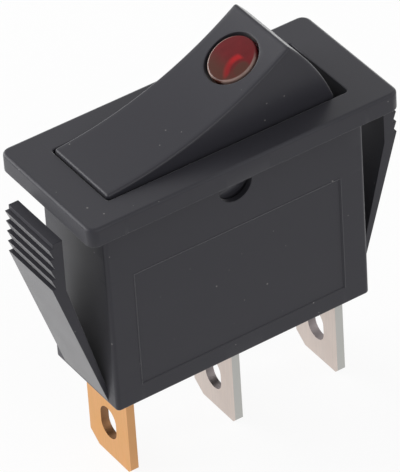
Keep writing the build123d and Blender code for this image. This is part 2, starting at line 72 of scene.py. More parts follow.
MERGE_DISTANCE = 2e-7           # points nearer than this become one
LEAST_EDGE = 1e-8               # edges shorter than this are closed up
SAME_PLACE = 1e-7               # difference under which two places count as the same
SHARP_ANGLE = radians(30)       # edges sharper than this stay crisp in the shading
STAMPED_ANGLE = radians(40)     # edges sharper than this are rounded on the blades
EASE_MIDDLE = 1 - sqrt(0.5)     # share of a rounding's radius by which its middle point lies inside both faces
SUPPORT = 0.04 * MM             # distance of the row that keeps a flat face flat beside a rounding
EASED = 0.05 * MM               # rounding of hidden bars
CORNER_POINTS = 5               # points on the arc of a rounded rectangle's corner
END_ROWS = 24                   # rows up each end of the rocker
CORNER_ROWS = 10                # rows round each of its top corners
TOP_ROWS = 40                   # rows of its top before the lens hole
TOP_ROWS_AFTER = 5              # rows of its top after the lens hole
LENS_CELLS = 24                 # cells of its top, each way, that give way to the lens hole
FLANK_CELLS = 3                 # cells of its top on each side of the lens hole
EDGE_CELLS = 6                  # cells round its side edges
WINDOW_CELLS = 26               # columns of the body's wall that give way to the pivot window
WINDOW_ROWS = 20                # rows of the body's wall that give way to the pivot window
WINDOW_CELL = 0.15 * MM         # size of those cells
WINDOW_TOP = 1.85 * MM          # height over the pivot at which the window's rows start


# Sizes and colours

def length(name, description, default, least=0.0):
    """A length in metres that the sidebar shows."""
    return FloatProperty(name=name, description=description, default=default * MM, unit="LENGTH", min=least)


def colour(name, description, default):
    """A linear colour that the sidebar shows."""
    return FloatVectorProperty(name=name, description=description, default=default, subtype="COLOR", size=3,
                               min=0.0, max=1.0)


class RockerSizes(bpy.types.PropertyGroup):
    """Rocker, drawn level about its pivot."""

    width: length("Width", "Rocker's width over its flat sides", 8.1)
    corner_x: length("Corner place", "Distance of each top corner from the middle", 9.85)
    corner_height: length("Corner height", "Height of the top corners over the pivot", 7.87)
    middle_height: length("Middle height", "Height of the hollow top over the pivot", 6.55)
    reach: length("Reach", "Distance of each end from the middle at the pivot's height", 11.5)
    heel_x: length("Heel place", "Distance of each heel from the middle", 10.6)
    heel_drop: length("Heel drop", "Depth of the heels under the pivot", 0.9)
    apron_x: length("Apron place", "Half length of the skirt's lowest stretch", 2.6)
    apron_drop: length("Apron drop", "Depth of the skirt's lowest stretch", 2.3)
    edge_radius: length("Edge radius", "Rounding of the touch edges", 0.25)
    top_wall: length("Top wall", "Thickness under the hollow top", 1.2)
    end_wall: length("End wall", "Thickness of the two ends", 0.9)
    skirt_wall: length("Skirt wall", "Thickness of the two long sides", 0.8)
    pin_radius: length("Pin radius", "Radius of the pivot pins", 1.6)
    pin_reach: length("Pin reach", "Distance of each pin's end from the middle", 4.6)
    tube_radius: length("Tube radius", "Outside of the plunger's tube", 2.3)
    bore_radius: length("Bore radius", "Inside of the plunger's tube", 1.55)
    tube_drop: length("Tube drop", "Depth of the tube under the pivot", 4.6)
    bore_top: length("Bore top", "Height over the pivot of the bore's closed end", 2.6)
    web: length("Web", "Thickness of the tie between the tube and the skirts", 0.8)
    ledge_place: length("Ledge place", "Distance of each end's ledge from the middle", 8.8)
    ledge_height: length("Ledge height", "Height of the ledges over the pivot", 0.4)
    ledge_thickness: length("Ledge thickness", "Thickness of the ledges", 1.0)
    inner_edge: length("Inner edge", "Rounding of the edges inside", 0.1)
    pin_ease: length("Pin ease", "Rounding of the pins' ends", 0.08)


class LensSizes(bpy.types.PropertyGroup):
    """Jewel and the hole that it sits in."""

    place: length("Place", "Distance of the jewel from the middle", 6.17)
    hole_radius: length("Hole radius", "Radius of the hole in the rocker", 2.57)
    hole_rim: length("Hole rim", "Rounding of the hole's edge", 0.05)
    radius: length("Radius", "Radius of the jewel", 2.3)
    shoulder: length("Shoulder", "Rounding of the jewel's shoulder", 0.2)
    shoulder_rise: length("Shoulder rise", "Height of the shoulder over the rocker's surface", 0.07)
    dome: length("Dome", "Height of the jewel's crown over its shoulder", 0.09)
    flange_radius: length("Flange radius", "Radius of the hidden flange", 2.9)
    flange_depth: length("Flange depth", "Depth of the flange's top under the surface", 1.3)
    flange_thickness: length("Flange thickness", "Thickness of the hidden flange", 0.5)
    collar: length("Collar", "Reach of the rocker's collar beyond the flange", 0.18)
    margin: length("Margin", "Gap between the hole's rim and the square of the grid that it replaces", 0.25)
    well_radius: length("Well radius", "Radius of the hollow under the crown", 1.55)
    well_depth: length("Well depth", "Depth of the hollow's roof under the surface", 0.75)


class HousingSizes(bpy.types.PropertyGroup):
    """Bezel, body and the posts and ribs inside it."""

    bezel_length: length("Bezel length", "Length of the bezel", 31.15)
    bezel_width: length("Bezel width", "Width of the bezel", 14.0)
    bezel_thickness: length("Bezel thickness", "Height of the bezel over the panel", 1.8)
    bezel_corner: length("Bezel corner", "Radius of the bezel's upright corners", 0.9)
    bezel_edge: length("Bezel edge", "Rounding of the bezel's top edge", 0.3)
    bezel_foot: length("Bezel foot", "Rounding of the bezel's lower edge", 0.08)
    opening_edge: length("Opening edge", "Rounding of the opening's edge", 0.12)
    body_length: length("Body length", "Length of the body", 26.2)
    body_width: length("Body width", "Width of the body", 9.7)
    body_depth: length("Body depth", "Depth of the body behind the panel", 20.25)
    body_corner: length("Body corner", "Radius of the body's upright corners", 0.4)
    body_foot: length("Body foot", "Rounding of the body's lower edge", 0.25)
    end_wall: length("End wall", "Thickness of the end walls", 1.0)
    side_wall: length("Side wall", "Thickness of the long walls", 0.55)
    floor: length("Floor", "Thickness of the floor", 1.3)
    cavity_corner: length("Cavity corner", "Radius of the opening's corners", 0.3)
    field_length: length("Field length", "Length of the sunk field on each long face", 20.9)
    field_top: length("Field top", "Depth of the field's top edge behind the panel", 6.5)
    field_bottom: length("Field bottom", "Depth of the field's lower edge behind the panel", 18.4)
    field_depth: length("Field depth", "How far the field is sunk", 0.08)
    field_slope: length("Field slope", "Width of the field's sloped edge", 0.06)
    field_bead: length("Field bead", "Height of the fine bead round the field", 0.05)
    bead_width: length("Bead width", "Width of the fine bead", 0.18)
    pocket_depth: length("Pocket depth", "Depth of the round pivot pockets inside the long walls", 0.35)
    window_radius: length("Window radius", "Radius of the half-round window under the pivot", 1.65)
    window_rim: length("Window rim", "Rounding of the window's edge", 0.05)
    post_place: length("Post place", "Distance of the bridge's stop from the middle", 5.7)
    post_length: length("Post length", "Length of the bridge's stop", 1.4)
    post_width: length("Post width", "Width of the bridge's stop and of the pedestals", 4.4)
    post_drop: length("Post drop", "Depth of the bridge's stop behind the panel", 11.19)
    pedestal_place: length("Pedestal place", "Distance of the pedestals from the middle", 7.52)
    pedestal_length: length("Pedestal length", "Length of each pedestal", 1.1)
    pedestal_drop: length("Pedestal drop", "Depth of the pedestals' tops behind the panel", 12.72)
    guide_thickness: length("Guide thickness", "Thickness of the ribs beside the blades", 0.7)
    guide_reach: length("Guide reach", "Reach of the ribs from the long walls", 1.1)
    guide_height: length("Guide height", "Height of the ribs over the floor", 4.0)


class WingSizes(bpy.types.PropertyGroup):
    """Snap wings at the two ends."""

    width: length("Width", "Width of each wing", 6.8)
    reach: length("Reach", "Distance of the teeth's tips from the middle", 17.55)
    top_gap: length("Top gap", "Gap between a wing's top and the bezel", 0.9)
    wall: length("Wall", "Thickness under the teeth", 0.95)
    tooth_depth: length("Tooth depth", "Depth of the saw teeth", 0.4)
    tooth_pitch: length("Tooth pitch", "Height of one saw tooth", 1.06)
    teeth: IntProperty(name="Teeth", description="Number of saw teeth on a wing", default=5, min=2)
    lead_height: length("Lead height", "Height of the plain edge over the first tooth", 0.45)
    heel_drop: length("Heel drop", "Depth of the inner knee behind the panel", 6.2)
    foot: length("Foot", "Height of the wing's lower edge over the body's", 0.3)
    root: length("Root", "Height of the wing's root over the body's lower edge", 1.8)
    edge: length("Edge", "Rounding of a wing's side edges", 0.06)


class BladeSizes(bpy.types.PropertyGroup):
    """Blades and the slots that they hang in."""

    thickness: length("Thickness", "Thickness of each blade", 0.8)
    width: length("Width", "Width of each blade", 6.3)
    end_gap: length("End gap", "Gap between an outer blade and the end wall", 0.8)
    clearance: length("Clearance", "Gap all round a blade in its slot", 0.05)
    edge: length("Edge", "Rounding of the stamped edges", 0.05)
    hole_drop: length("Hole drop", "Depth of the holes' middle behind the panel", 25.6)
    hole_width: length("Hole width", "Width of the hole in each blade", 2.4)
    hole_length: length("Hole length", "Length of the hole in each blade", 3.3)


class SpringSizes(bpy.types.PropertyGroup):
    """Springs that the rocker and the plunger shorten."""

    lamp_wire: length("Lamp spring wire", "Thickness of the load lamp spring's wire", 0.25)
    lamp_radius: length("Lamp spring radius", "Middle of the wire to the load lamp spring's axis", 0.65)
    lamp_turns: IntProperty(name="Lamp spring turns", description="Turns of the load lamp spring", default=7, min=1)
    plunger_wire: length("Plunger spring wire", "Thickness of the plunger spring's wire", 0.28)
    plunger_radius: length("Plunger spring radius", "Middle of the wire to the plunger spring's axis", 0.78)
    plunger_turns: IntProperty(name="Plunger spring turns", description="Turns of the plunger spring", default=6,
                               min=1)
    well_drop: length("Well drop", "Depth under the pivot of the spring's seat in the plunger", 5.6)
    end_gap: length("End gap", "Gap between the plunger spring and each seat", 0.03)


class FinishColours(bpy.types.PropertyGroup):
    """Colours of the finishes, the jewel's painted highlights and the painted shade in the blades' holes."""

    plastic: colour("Plastic", "Black of the mouldings", (0.026, 0.0255, 0.032))
    sheen: FloatProperty(name="Plastic sheen", description="Pale bloom of the mouldings at a low angle",
                         default=0.42, min=0.0, max=1.0, subtype="FACTOR")
    body: colour("Jewel", "Red of the jewel", (0.17, 0.008, 0.012))
    deep: colour("Jewel depth", "Deeper red in the jewel", (0.1, 0.005, 0.006))
    brown: colour("Jewel shade", "Browner side of the jewel", (0.085, 0.025, 0.016))
    # Painted highlight: the pale colour laid on parts of the jewel's shoulder where its rim catches the light.
    shoulder: colour("Jewel shoulder", "Pale rim of the jewel", (0.34, 0.24, 0.21))
    # Painted highlight and painted glow: the bright red of the jewel's bent glint, used for its colour and its
    # emission.
    streak_and_painted_glint: colour("Jewel streak", "Bright streak in the jewel", (0.36, 0.006, 0.009))
    plated: colour("Plating", "Tin plating on two blades", (0.63, 0.54, 0.49))
    plated_streak: colour("Plating streaks", "Darker streaks in the plating", (0.56, 0.49, 0.45))
    plated_edge: colour("Plated edge", "Sheared edges of the plated blades", (0.47, 0.47, 0.45))
    brass: colour("Brass", "Bare brass of the lamp's blade", (0.76, 0.38, 0.15))
    brass_streak: colour("Brass streaks", "Darker streaks in the brass", (0.68, 0.36, 0.12))
    brass_edge: colour("Brass edge", "Sheared edges of the brass blade", (0.6, 0.33, 0.15))
    # Painted shade: darker colours on the walls of the blades' holes, for the shade inside the holes.
    plated_hole_shade: colour("Plated hole", "Torn wall of a plated blade's hole", (0.27, 0.24, 0.24))
    brass_hole_shade: colour("Brass hole", "Torn wall of the brass blade's hole", (0.3, 0.16, 0.08))


class StageSizes(bpy.types.PropertyGroup):
    """Camera, floor and world."""

    azimuth: FloatProperty(name="Azimuth", description="Camera's turn from the front, towards -X if negative",
                           default=radians(-31.71), subtype="ANGLE")
    elevation: FloatProperty(name="Elevation", description="Camera's height angle", default=radians(38.6),
                             subtype="ANGLE")
    roll: FloatProperty(name="Roll", description="Camera's roll", default=radians(-3.86), subtype="ANGLE")
    distance: length("Distance", "Camera's distance from the bezel", 420.3)
    shift_right: length("Shift right", "Camera's shift to the right", -0.03, -1.0)
    shift_down: length("Shift down", "Camera's shift downwards", 9.655)
    focal: FloatProperty(name="Focal length", description="Focal length for a 36 mm sensor", default=383.6,
                         unit="CAMERA")
    floor_size: length("Floor size", "Width of the floor", 900.0)
    world_level: FloatProperty(name="World level", description="Brightness of the world on the object",
                               default=0.45)


# Surfaces: arrays of points in metres, and arrays of the corner numbers of their faces

def grid_faces(rows, columns, closed=False):
    """Corner numbers of the quads of a grid of points; closed joins the last column to the first."""
    number = np.arange(rows * columns).reshape(rows, columns)
    if closed:
        number = np.hstack([number, number[:, :1]])
    corners = (number[:-1, :-1], number[1:, :-1], number[1:, 1:], number[:-1, 1:])
    return np.stack(corners, axis=-1).reshape(-1, 4)


def sheet(points, closed=False, holes=()):
    """Grid of points as a patch, (points, arrays of faces), without the faces in each hole's rows and columns."""
    rows, columns = points.shape[:2]
    keep = np.ones((rows - 1, columns if closed else columns - 1), bool)
    for first_row, last_row, first_column, last_column in holes:
        keep[first_row:last_row, first_column:last_column] = False
    return points.reshape(-1, 3), [grid_faces(rows, columns, closed)[keep.ravel()]]


def rings(loops):
    """Patch between closed loops of as many points each."""
    return sheet(np.stack(loops), closed=True)


def rim_of(block):
    """Points round the edge of a block of grid points, in order."""
    return np.concatenate([block[0, :-1], block[:-1, -1], block[-1, :0:-1], block[:0:-1, 0]])


def steps(start, end, count):
    """Evenly spaced values, without the last."""
    return np.linspace(start, end, count, endpoint=False)


def both_signs(values):
    """Values and their negatives, sorted, without doubles."""
    return np.unique(np.round(np.concatenate([values, np.negative(values)]), 9))


def on_circle(radius, angle, centre=(0.0, 0.0)):
    """Points (c + r cos t, d + r sin t) about a centre (c, d)."""
    return np.stack([centre[0] + radius * np.cos(angle), centre[1] + radius * np.sin(angle)], axis=-1)


def turned(points, angle, origin=(0.0, 0.0, 0.0)):
    """Points turned about the Y axis through an origin: z swings towards x as the angle grows."""
    x, y, z = np.moveaxis(np.asarray(points, float), -1, 0)
    ox, oy, oz = origin
    return np.stack([ox + x * cos(angle) + z * sin(angle), oy + y, oz + z * cos(angle) - x * sin(angle)], axis=-1)


def moved(patches, change):
    """Patches with their points changed by a function."""
    return [(change(points), faces) for points, faces in patches]


def revolved(profile, count=96):
    """Profile of (radius, height) turned about Z: x = r cos t, y = r sin t, z = h."""
    radius, height = np.asarray(profile, float).T
    turn = steps(0.0, 2 * pi, count)
    x = radius[:, None] * np.cos(turn)
    y = radius[:, None] * np.sin(turn)
    return sheet(np.stack([x, y, np.broadcast_to(height[:, None], x.shape)], axis=-1), closed=True)


def prism(outline, low, high, edge):
    """Closed XZ outline carried along Y, its side edges eased by an inset along the mitred corners.

    A corner with unit normals m and n on its two sides moves in by e (m + n) / (1 + m . n).
    """
    outline = np.asarray(outline, float)
    along = np.roll(outline, -1, axis=0) - outline
    along /= np.linalg.norm(along, axis=1, keepdims=True)
    area = np.sum(outline[:, 0] * np.roll(outline[:, 1], -1) - np.roll(outline[:, 0], -1) * outline[:, 1])
    normal = np.stack([along[:, 1], -along[:, 0]], axis=-1) * np.sign(area)
    before = np.roll(normal, 1, axis=0)
    mitre = (normal + before) / (1 + np.sum(normal * before, axis=1, keepdims=True))
    half = edge * EASE_MIDDLE
    loops = [(low, edge), (low + half, half), (low + edge, 0.0), (high - edge, 0.0), (high - half, half),
             (high, edge)]
    points = [np.insert(outline - mitre * inset, 1, y, axis=1) for y, inset in loops]
    made, faces = rings(points)
    first_cap = np.arange(len(outline))
    return made, [*faces, np.stack([first_cap, first_cap + len(made) - len(outline)])]


def bar(x0, x1, z0, z1, y0, y1):
    """Straight bar between two corners, its side edges eased a little."""
    return prism([(x0, z0), (x1, z0), (x1, z1), (x0, z1)], y0, y1, EASED)


def tube_along(path, radius, sides=12):
    """Round tube along a path, with ends closed to a point.

    Each ring lies across the path: r (cos t a + sin t b), where a and b span the plane square to the path. They
    are worked out from the Y axis, or from the X axis where the path runs close to Y.
    """
    tangent = np.gradient(path, axis=0)
    tangent /= np.linalg.norm(tangent, axis=1, keepdims=True)
    helper = np.where(np.abs(tangent[:, 1:2]) < 0.9, [[0.0, 1.0, 0.0]], [[1.0, 0.0, 0.0]])
    across = np.cross(tangent, helper)
    across /= np.linalg.norm(across, axis=1, keepdims=True)
    other = np.cross(tangent, across)
    turn = steps(0.0, 2 * pi, sides)
    ring = np.cos(turn)[None, :, None] * across[:, None] + np.sin(turn)[None, :, None] * other[:, None]
    points = path[:, None] + radius * ring
    ends = np.broadcast_to(path[[0, -1], None], (2, sides, 3))
    return sheet(np.concatenate([ends[:1], points, ends[1:]]), closed=True)


def coil(radius, wire, low, high, turns, points_a_turn=24):
    """Round wire along the helix (r cos t, r sin t, h), where h rises evenly with the angle t."""
    turn = np.linspace(0.0, 2 * pi * turns, points_a_turn * turns + 1)
    height = np.linspace(low + wire / 2, high - wire / 2, len(turn))
    path = np.column_stack([on_circle(radius, turn), height])
    return tube_along(path, wire / 2)


# Surfaces of the rocker and the jewel

def at_rest(points):
    """Level points tipped into the pressed position and brought up to the pivot."""
    return turned(points, -rest_tilt) + [0.0, 0.0, pivot_height]


def rocker_frame(sizes):
    """Circles of the rocker's level outline: top arc, end arc and the rounded corner between them."""
    rise = sizes.corner_height - sizes.middle_height
    top = (sizes.corner_x ** 2 + rise ** 2) / (2 * rise)
    end_x = (sizes.corner_x ** 2 + sizes.corner_height ** 2 - sizes.reach ** 2) / (2 * (sizes.corner_x - sizes.reach))
    return top, sizes.middle_height + top, end_x, sizes.reach - end_x


def corner_centre(top_z, top_radius, end_x, end_radius, corner):
    """Centre of the corner's rounding, where two circles grown and shrunk by its radius cross."""
    first, second = top_radius + corner, end_radius - corner
    gap = hypot(end_x, top_z)
    along = (first ** 2 - second ** 2 + gap ** 2) / (2 * gap)
    off = sqrt(first ** 2 - along ** 2)
    dx, dz = end_x / gap, -top_z / gap
    return along * dx - off * dz, top_z + along * dz + off * dx


def hole_reach(lens):
    """Half width of the square of the top's grid that gives way to the round hole."""
    return lens.hole_radius + lens.hole_rim + lens.margin


def lens_place(sizes, lens):
    """Point on the level top under the lens, the direction along the top, and the direction out of it."""
    top, top_z, _, _ = rocker_frame(sizes)
    angle = asin(lens.place / top)
    point = np.array([lens.place, 0.0, top_z - top * cos(angle)])
    return point, np.array([cos(angle), 0.0, sin(angle)]), np.array([-sin(angle), 0.0, cos(angle)])


def on_lens(points, point, along, out):
    """Points drawn about the lens's own axis, set square to the rocker's top."""
    return point + points[:, :1] * along + points[:, 1:2] * [[0.0, 1.0, 0.0]] + points[:, 2:] * out


def rocker_lid(sizes, lens, inset_top, inset_end, half_width, edge):
    """Grid of points over the rocker, from the foot of one end, over the top, to the foot of the other.

    Every row is a place along the outline and every column a place across the width. The outline is an end
    circle, a corner circle, the hollow top's circle and their mirror images; where the side edge rounds over by
    an angle a, all circles move in by e (1 - sin a) and the width out by e cos a. The first row and column of the
    square that gives way to the lens hole are returned too.
    """
    top, top_z, end_x, end = rocker_frame(sizes)
    middle, reach = asin(lens.place / top), asin(hole_reach(lens) / top)
    top, end = top + inset_top, end - inset_end
    fx, fz = corner_centre(top_z, top, end_x, end, edge)
    end_turn = atan2(fz, fx - end_x)
    corner_turn = atan2(top_z - fz, -fx)
    top_turn = asin(fx / (top + edge))
    over = np.concatenate([steps(-top_turn, middle - reach, TOP_ROWS),
                           steps(middle - reach, middle + reach, LENS_CELLS),
                           np.linspace(middle + reach, top_turn, TOP_ROWS_AFTER)])[:, None]
    rise = steps(0.0, end_turn, END_ROWS)[:, None]
    bend = steps(end_turn, corner_turn, CORNER_ROWS)[:, None]
    turn = np.linspace(0, pi / 2, EDGE_CELLS + 1)
    flank, half_hole = half_width - edge, hole_reach(lens)
    tops = np.concatenate([steps(-flank, -half_hole, FLANK_CELLS), steps(-half_hole, half_hole, LENS_CELLS),
                           np.linspace(half_hole, flank, FLANK_CELLS + 1)])
    y = np.concatenate([[-half_width], -flank - edge * np.cos(turn[:-1]), tops,
                        flank + edge * np.cos(turn[-2::-1]), [half_width]])
    sunk = np.concatenate([[edge], edge * (1 - np.sin(turn[:-1])), np.zeros(len(tops)),
                           edge * (1 - np.sin(turn[-2::-1])), [edge]])[None, :]
    plus = np.concatenate([on_circle(end - sunk, rise, (end_x, 0.0)), on_circle(edge - sunk, bend, (fx, fz))])
    outline = np.concatenate([plus * [-1.0, 1.0], on_circle(top + sunk, over - pi / 2, (0.0, top_z)), plus[::-1]])
    outline = np.concatenate([outline[:1], outline, outline[-1:]])
    x, z = outline[..., 0], outline[..., 1]
    foot = np.interp(np.abs(x), [0, sizes.apron_x, sizes.heel_x, sizes.reach],
                     [-sizes.apron_drop, -sizes.apron_drop, -sizes.heel_drop, 0.0])
    z[[0, -1]] = foot[[0, -1]]
    z[:, [0, -1]] = foot[:, [0, -1]]
    first_row, first_column = 1 + len(plus) + TOP_ROWS, 1 + EDGE_CELLS + FLANK_CELLS
    return np.stack([x, np.broadcast_to(y, x.shape), z], axis=-1), first_row, first_column


def lens_hole(sizes, lens, outer, inner):
    """Round hole between two square openings, with a rounded rim.

    Rings blend from the square to a circle in the plane that touches the top, and each point is then lifted
    onto the top's circle by R - sqrt(R^2 - u^2), u being its distance along the top.
    """
    point, along, out = lens_place(sizes, lens)
    top = rocker_frame(sizes)[0]
    flat = [np.stack([(loop - point) @ along, loop[:, 1]], axis=-1) for loop in (outer, inner)]
    turn = np.arctan2(flat[0][:, 1], flat[0][:, 0])
    circle = on_circle(1.0, turn)

    def on_surface(plane, radius, depth, drop=0.0):
        """Flat points lifted onto a circle about the top's centre."""
        lift = radius - np.sqrt(radius ** 2 - plane[:, 0] ** 2) - depth - drop
        return on_lens(np.column_stack([plane, lift]), point, along, out)

    wide = circle * (lens.hole_radius + lens.hole_rim)
    narrow = circle * lens.hole_radius
    loops = [outer]
    loops += [on_surface(flat[0] + (wide - flat[0]) * part, top, 0.0) for part in np.linspace(0.25, 1, 4)]
    for angle in np.linspace(0, pi / 2, 6)[1:]:
        ring = circle * (lens.hole_radius + lens.hole_rim * (1 - sin(angle)))
        loops.append(on_surface(ring, top, 0.0, lens.hole_rim * (1 - cos(angle))))
    under = top + sizes.top_wall
    loops += [on_surface(narrow + (flat[1] - narrow) * part, under, sizes.top_wall)
              for part in np.linspace(0, 0.75, 4)]
    loops.append(inner)
    return rings(loops)


# Surfaces of the housing

def nearest(places, value):
    """Number of the place that lies nearest to a value."""
    return int(np.argmin(np.abs(places - value)))


def body_length_inside(sizes):
    """Length of the hollow between the end walls."""
    return sizes.body_length - 2 * sizes.end_wall


def blade_slots(sizes, blade):
    """Distance of the outer blades from the middle, and half the length and the width of a blade's slot."""
    place = body_length_inside(sizes) / 2 - blade.end_gap - blade.thickness / 2
    return place, blade.thickness / 2 + blade.clearance, blade.width / 2 + blade.clearance


def field_profile(sizes):
    """Distances outside the field's edge, and the height of the surface there."""
    step, wide = sizes.bead_width / 2, sizes.bead_width
    return (np.array([-sizes.field_slope - SUPPORT, -sizes.field_slope, 0.0, step, wide, wide + SUPPORT]),
            np.array([-sizes.field_depth, -sizes.field_depth, 0.0, sizes.field_bead, 0.0, 0.0]))


def window_span():
    """Upper and lower height of the square of the grid that gives way to the window."""
    return pivot_height + WINDOW_TOP, pivot_height - WINDOW_CELL * WINDOW_CELLS / 2


def column_places(sizes, blade):
    """Places along the long and the short faces of the body, at which the housing's columns stand."""
    window = WINDOW_CELL * np.arange(WINDOW_CELLS // 2 + 1)
    edge = sizes.field_length / 2
    place, slot, slot_width = blade_slots(sizes, blade)
    corner = sizes.body_length / 2 - sizes.body_corner
    spread = np.linspace(window[-1], edge - 3 * sizes.field_slope, 5)
    field = edge + field_profile(sizes)[0]
    along = both_signs(np.concatenate([window, spread, field, [place - slot, place + slot, corner]]))
    across = both_signs(np.array([0.0, slot_width, sizes.body_width / 2 - sizes.body_corner]))
    return along, across


def body_levels(sizes):
    """Heights of the body's rows between the panel and the rounded foot."""
    middle = (sizes.field_top + sizes.field_bottom) / 2
    window_top, window_low = window_span()
    high = -sizes.field_top + field_profile(sizes)[0]
    low = -sizes.field_bottom - field_profile(sizes)[0]
    rows = np.concatenate([np.linspace(window_top, window_low, WINDOW_ROWS + 1), high, [-middle], low,
                           [-sizes.body_depth + sizes.body_foot]])
    return np.unique(rows)[::-1]


def rounded_loop(along, across, length, width, corner, z):
    """Rounded rectangle, its columns spread in the same proportions as the body's.

    Straight sides run between the corner centres, and each corner is r (cos t, sin t) about its centre.
    """
    half_x, half_y = length / 2 - corner, width / 2 - corner
    x = along / along[-1] * half_x
    y = across / across[-1] * half_y
    turn = np.linspace(0, pi / 2, CORNER_POINTS + 2)[1:-1]
    arc = corner * np.stack([np.sin(turn), -np.cos(turn)], axis=-1)
    swap = arc[::-1]
    front = np.stack([x, np.full(len(x), -half_y - corner)], axis=-1)
    right = np.stack([np.full(len(y), half_x + corner), y], axis=-1)
    flat = np.concatenate([front, arc + [half_x, -half_y], right, swap * [1, -1] + [half_x, half_y],
                           front[::-1] * [1, -1], arc * [-1, -1] + [-half_x, half_y],
                           right[::-1] * [-1, 1], swap * [-1, 1] + [-half_x, -half_y]])
    return np.column_stack([flat, np.full(len(flat), z)])


def grown_loop(along, across, outline, grow, z):
    """Rounded rectangle (length, width, corner) grown outwards by an amount."""
    length_of, width_of, corner = outline
    return rounded_loop(along, across, length_of + 2 * grow, width_of + 2 * grow, corner + grow, z)


def eased_loops(along, across, outline, edge, z, turns, out=-1, up=-1):
    """Loops of a rounded edge: at an angle t the outline moves by e (1 - cos t) and the height by e (1 - sin t)."""
    return [grown_loop(along, across, outline, out * edge * (1 - cos(turn)), z + up * edge * (1 - sin(turn)))
            for turn in turns]


def half_moon(sizes, grow):
    """Window's outline grown by an amount: its chord over the top cells, its arc over the other cells."""
    radius = sizes.window_radius + grow
    start = asin(grow / radius)
    chord = radius * cos(start)
    over = steps(-chord, chord, WINDOW_CELLS)
    turn = np.linspace(start, -pi - start, WINDOW_CELLS + 2 * WINDOW_ROWS + 1)[:-1]
    top = np.stack([over, np.full(WINDOW_CELLS, grow)], axis=-1)
    return np.concatenate([top, on_circle(radius, turn)])


def pocket_circle(sizes):
    """Full circle of the pivot pocket, cell for cell beside the window's outline."""
    upper = steps(pi, 0.0, WINDOW_CELLS)
    lower = steps(0.0, -pi, WINDOW_CELLS + 2 * WINDOW_ROWS)
    return on_circle(sizes.window_radius, np.concatenate([upper, lower]))


def pivot_window(sizes, outer, inner, side):
    """Half-round window through a long wall and the round pocket behind it, between two square openings."""
    flat = [np.stack([loop[:, 0], loop[:, 2] - pivot_height], axis=-1) for loop in (outer, inner)]

    def level(plane, y):
        """Flat points stood upright at a distance from the middle."""
        return np.column_stack([plane[:, 0], np.full(len(plane), side * y), plane[:, 1] + pivot_height])

    wall, hollow = sizes.body_width / 2, sizes.body_width / 2 - sizes.side_wall
    pocket = hollow + sizes.pocket_depth
    rim = sizes.window_rim
    wide, round_pocket = half_moon(sizes, rim), pocket_circle(sizes)
    loops = [outer]
    loops += [level(flat[0] + (wide - flat[0]) * part, wall) for part in np.linspace(0.25, 1, 4)]
    loops += [level(half_moon(sizes, rim * (1 - sin(turn))), wall - rim * (1 - cos(turn)))
              for turn in np.linspace(0, pi / 2, 5)[1:]]
    loops += [level(half_moon(sizes, 0.0), pocket), level(round_pocket, pocket), level(round_pocket, hollow)]
    loops += [level(round_pocket + (flat[1] - round_pocket) * part, hollow) for part in np.linspace(0.25, 0.75, 3)]
    loops.append(inner)
    return rings(loops)


# Pieces

def in_scene(thing):
    """Put a new object into the scene."""
    bpy.context.scene.collection.objects.link(thing)
    return thing


def finished(piece, body, material, slot, *nodes):
    """Smooth the faces that meet at a low angle, give the piece its finish, its body and the nodes it stands for."""
    piece.data.shade_smooth()
    piece.data.set_sharp_from_angle(angle=SHARP_ANGLE)
    weighted = piece.modifiers.new("Weighted normals", "WEIGHTED_NORMAL")
    weighted.keep_sharp = True
    piece.data.materials.clear()
    piece.data.materials.append(material)
    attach(piece, body)
    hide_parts(*nodes)
    return piece


def joined(mesh):
    """Merge a mesh's doubled points and turn its faces outwards."""
    work = bmesh.new()
    work.from_mesh(mesh)
    bmesh.ops.remove_doubles(work, verts=work.verts, dist=MERGE_DISTANCE)
    bmesh.ops.dissolve_degenerate(work, edges=work.edges, dist=LEAST_EDGE)
    bmesh.ops.recalc_face_normals(work, faces=work.faces)
    work.to_mesh(mesh)
    work.free()


def make_piece(name, patches, body, material, slot, *nodes):
    """One closed mesh from patches, which rides on a body and stands for its CAD nodes."""
    points, faces, start = [], [], 0
    for patch, blocks in patches:
        points.append(patch)
        for block in blocks:
            faces += (block + start).tolist()
        start += len(patch)
    mesh = bpy.data.meshes.new(name)
    mesh.from_pydata(np.concatenate(points), [], faces)
    joined(mesh)
    piece = in_scene(bpy.data.objects.new(name, mesh))
    return finished(piece, body, material, slot, *nodes)


def eased_copy(node, name, body, material, slot, width):
    """Copy of a CAD node with its loose triangles merged and its stamped edges rounded."""
    mesh = frame["nodes"][node].data.copy()
    mesh.name = name
    joined(mesh)
    piece = in_scene(bpy.data.objects.new(name, mesh))
    bevel = piece.modifiers.new("Eased edges", "BEVEL")
    bevel.width = width
    bevel.segments = 2
    bevel.limit_method = "ANGLE"
    bevel.angle_limit = STAMPED_ANGLE
    bevel.use_clamp_overlap = True
    return finished(piece, body, material, slot, node)


# Finishes

def feed(tree, socket, value):
    """Set a socket to a value, or link another socket to it."""
    if isinstance(value, bpy.types.NodeSocket):
        tree.links.new(value, socket)
    else:
        socket.default_value = value


def maths(tree, operation, *values):
    """Result of a Math node."""
    made = tree.nodes.new("ShaderNodeMath")
    made.operation = operation
    for socket, value in zip(made.inputs, values):
        feed(tree, socket, value)
    return made.outputs[0]


def fade(tree, value, empty, full):
    """Smooth rise from 0 at one value to 1 at another."""
    made = tree.nodes.new("ShaderNodeMapRange")
    made.interpolation_type = "SMOOTHSTEP"
    feed(tree, made.inputs["Value"], value)
    made.inputs["From Min"].default_value = min(empty, full)
    made.inputs["From Max"].default_value = max(empty, full)
    made.inputs["To Min"].default_value = float(empty > full)
    made.inputs["To Max"].default_value = float(empty < full)
    return made.outputs["Result"]


def blended(tree, factor, first, second):
    """Two colours mixed."""
    made = tree.nodes.new("ShaderNodeMix")
    made.data_type = "RGBA"
    for name, value in (("Factor", factor), ("A", first), ("B", second)):
        socket = next(socket for socket in made.inputs if socket.name == name and socket.enabled)
        feed(tree, socket, (*value, 1.0) if isinstance(value, tuple) else value)
    return next(socket for socket in made.outputs if socket.enabled)


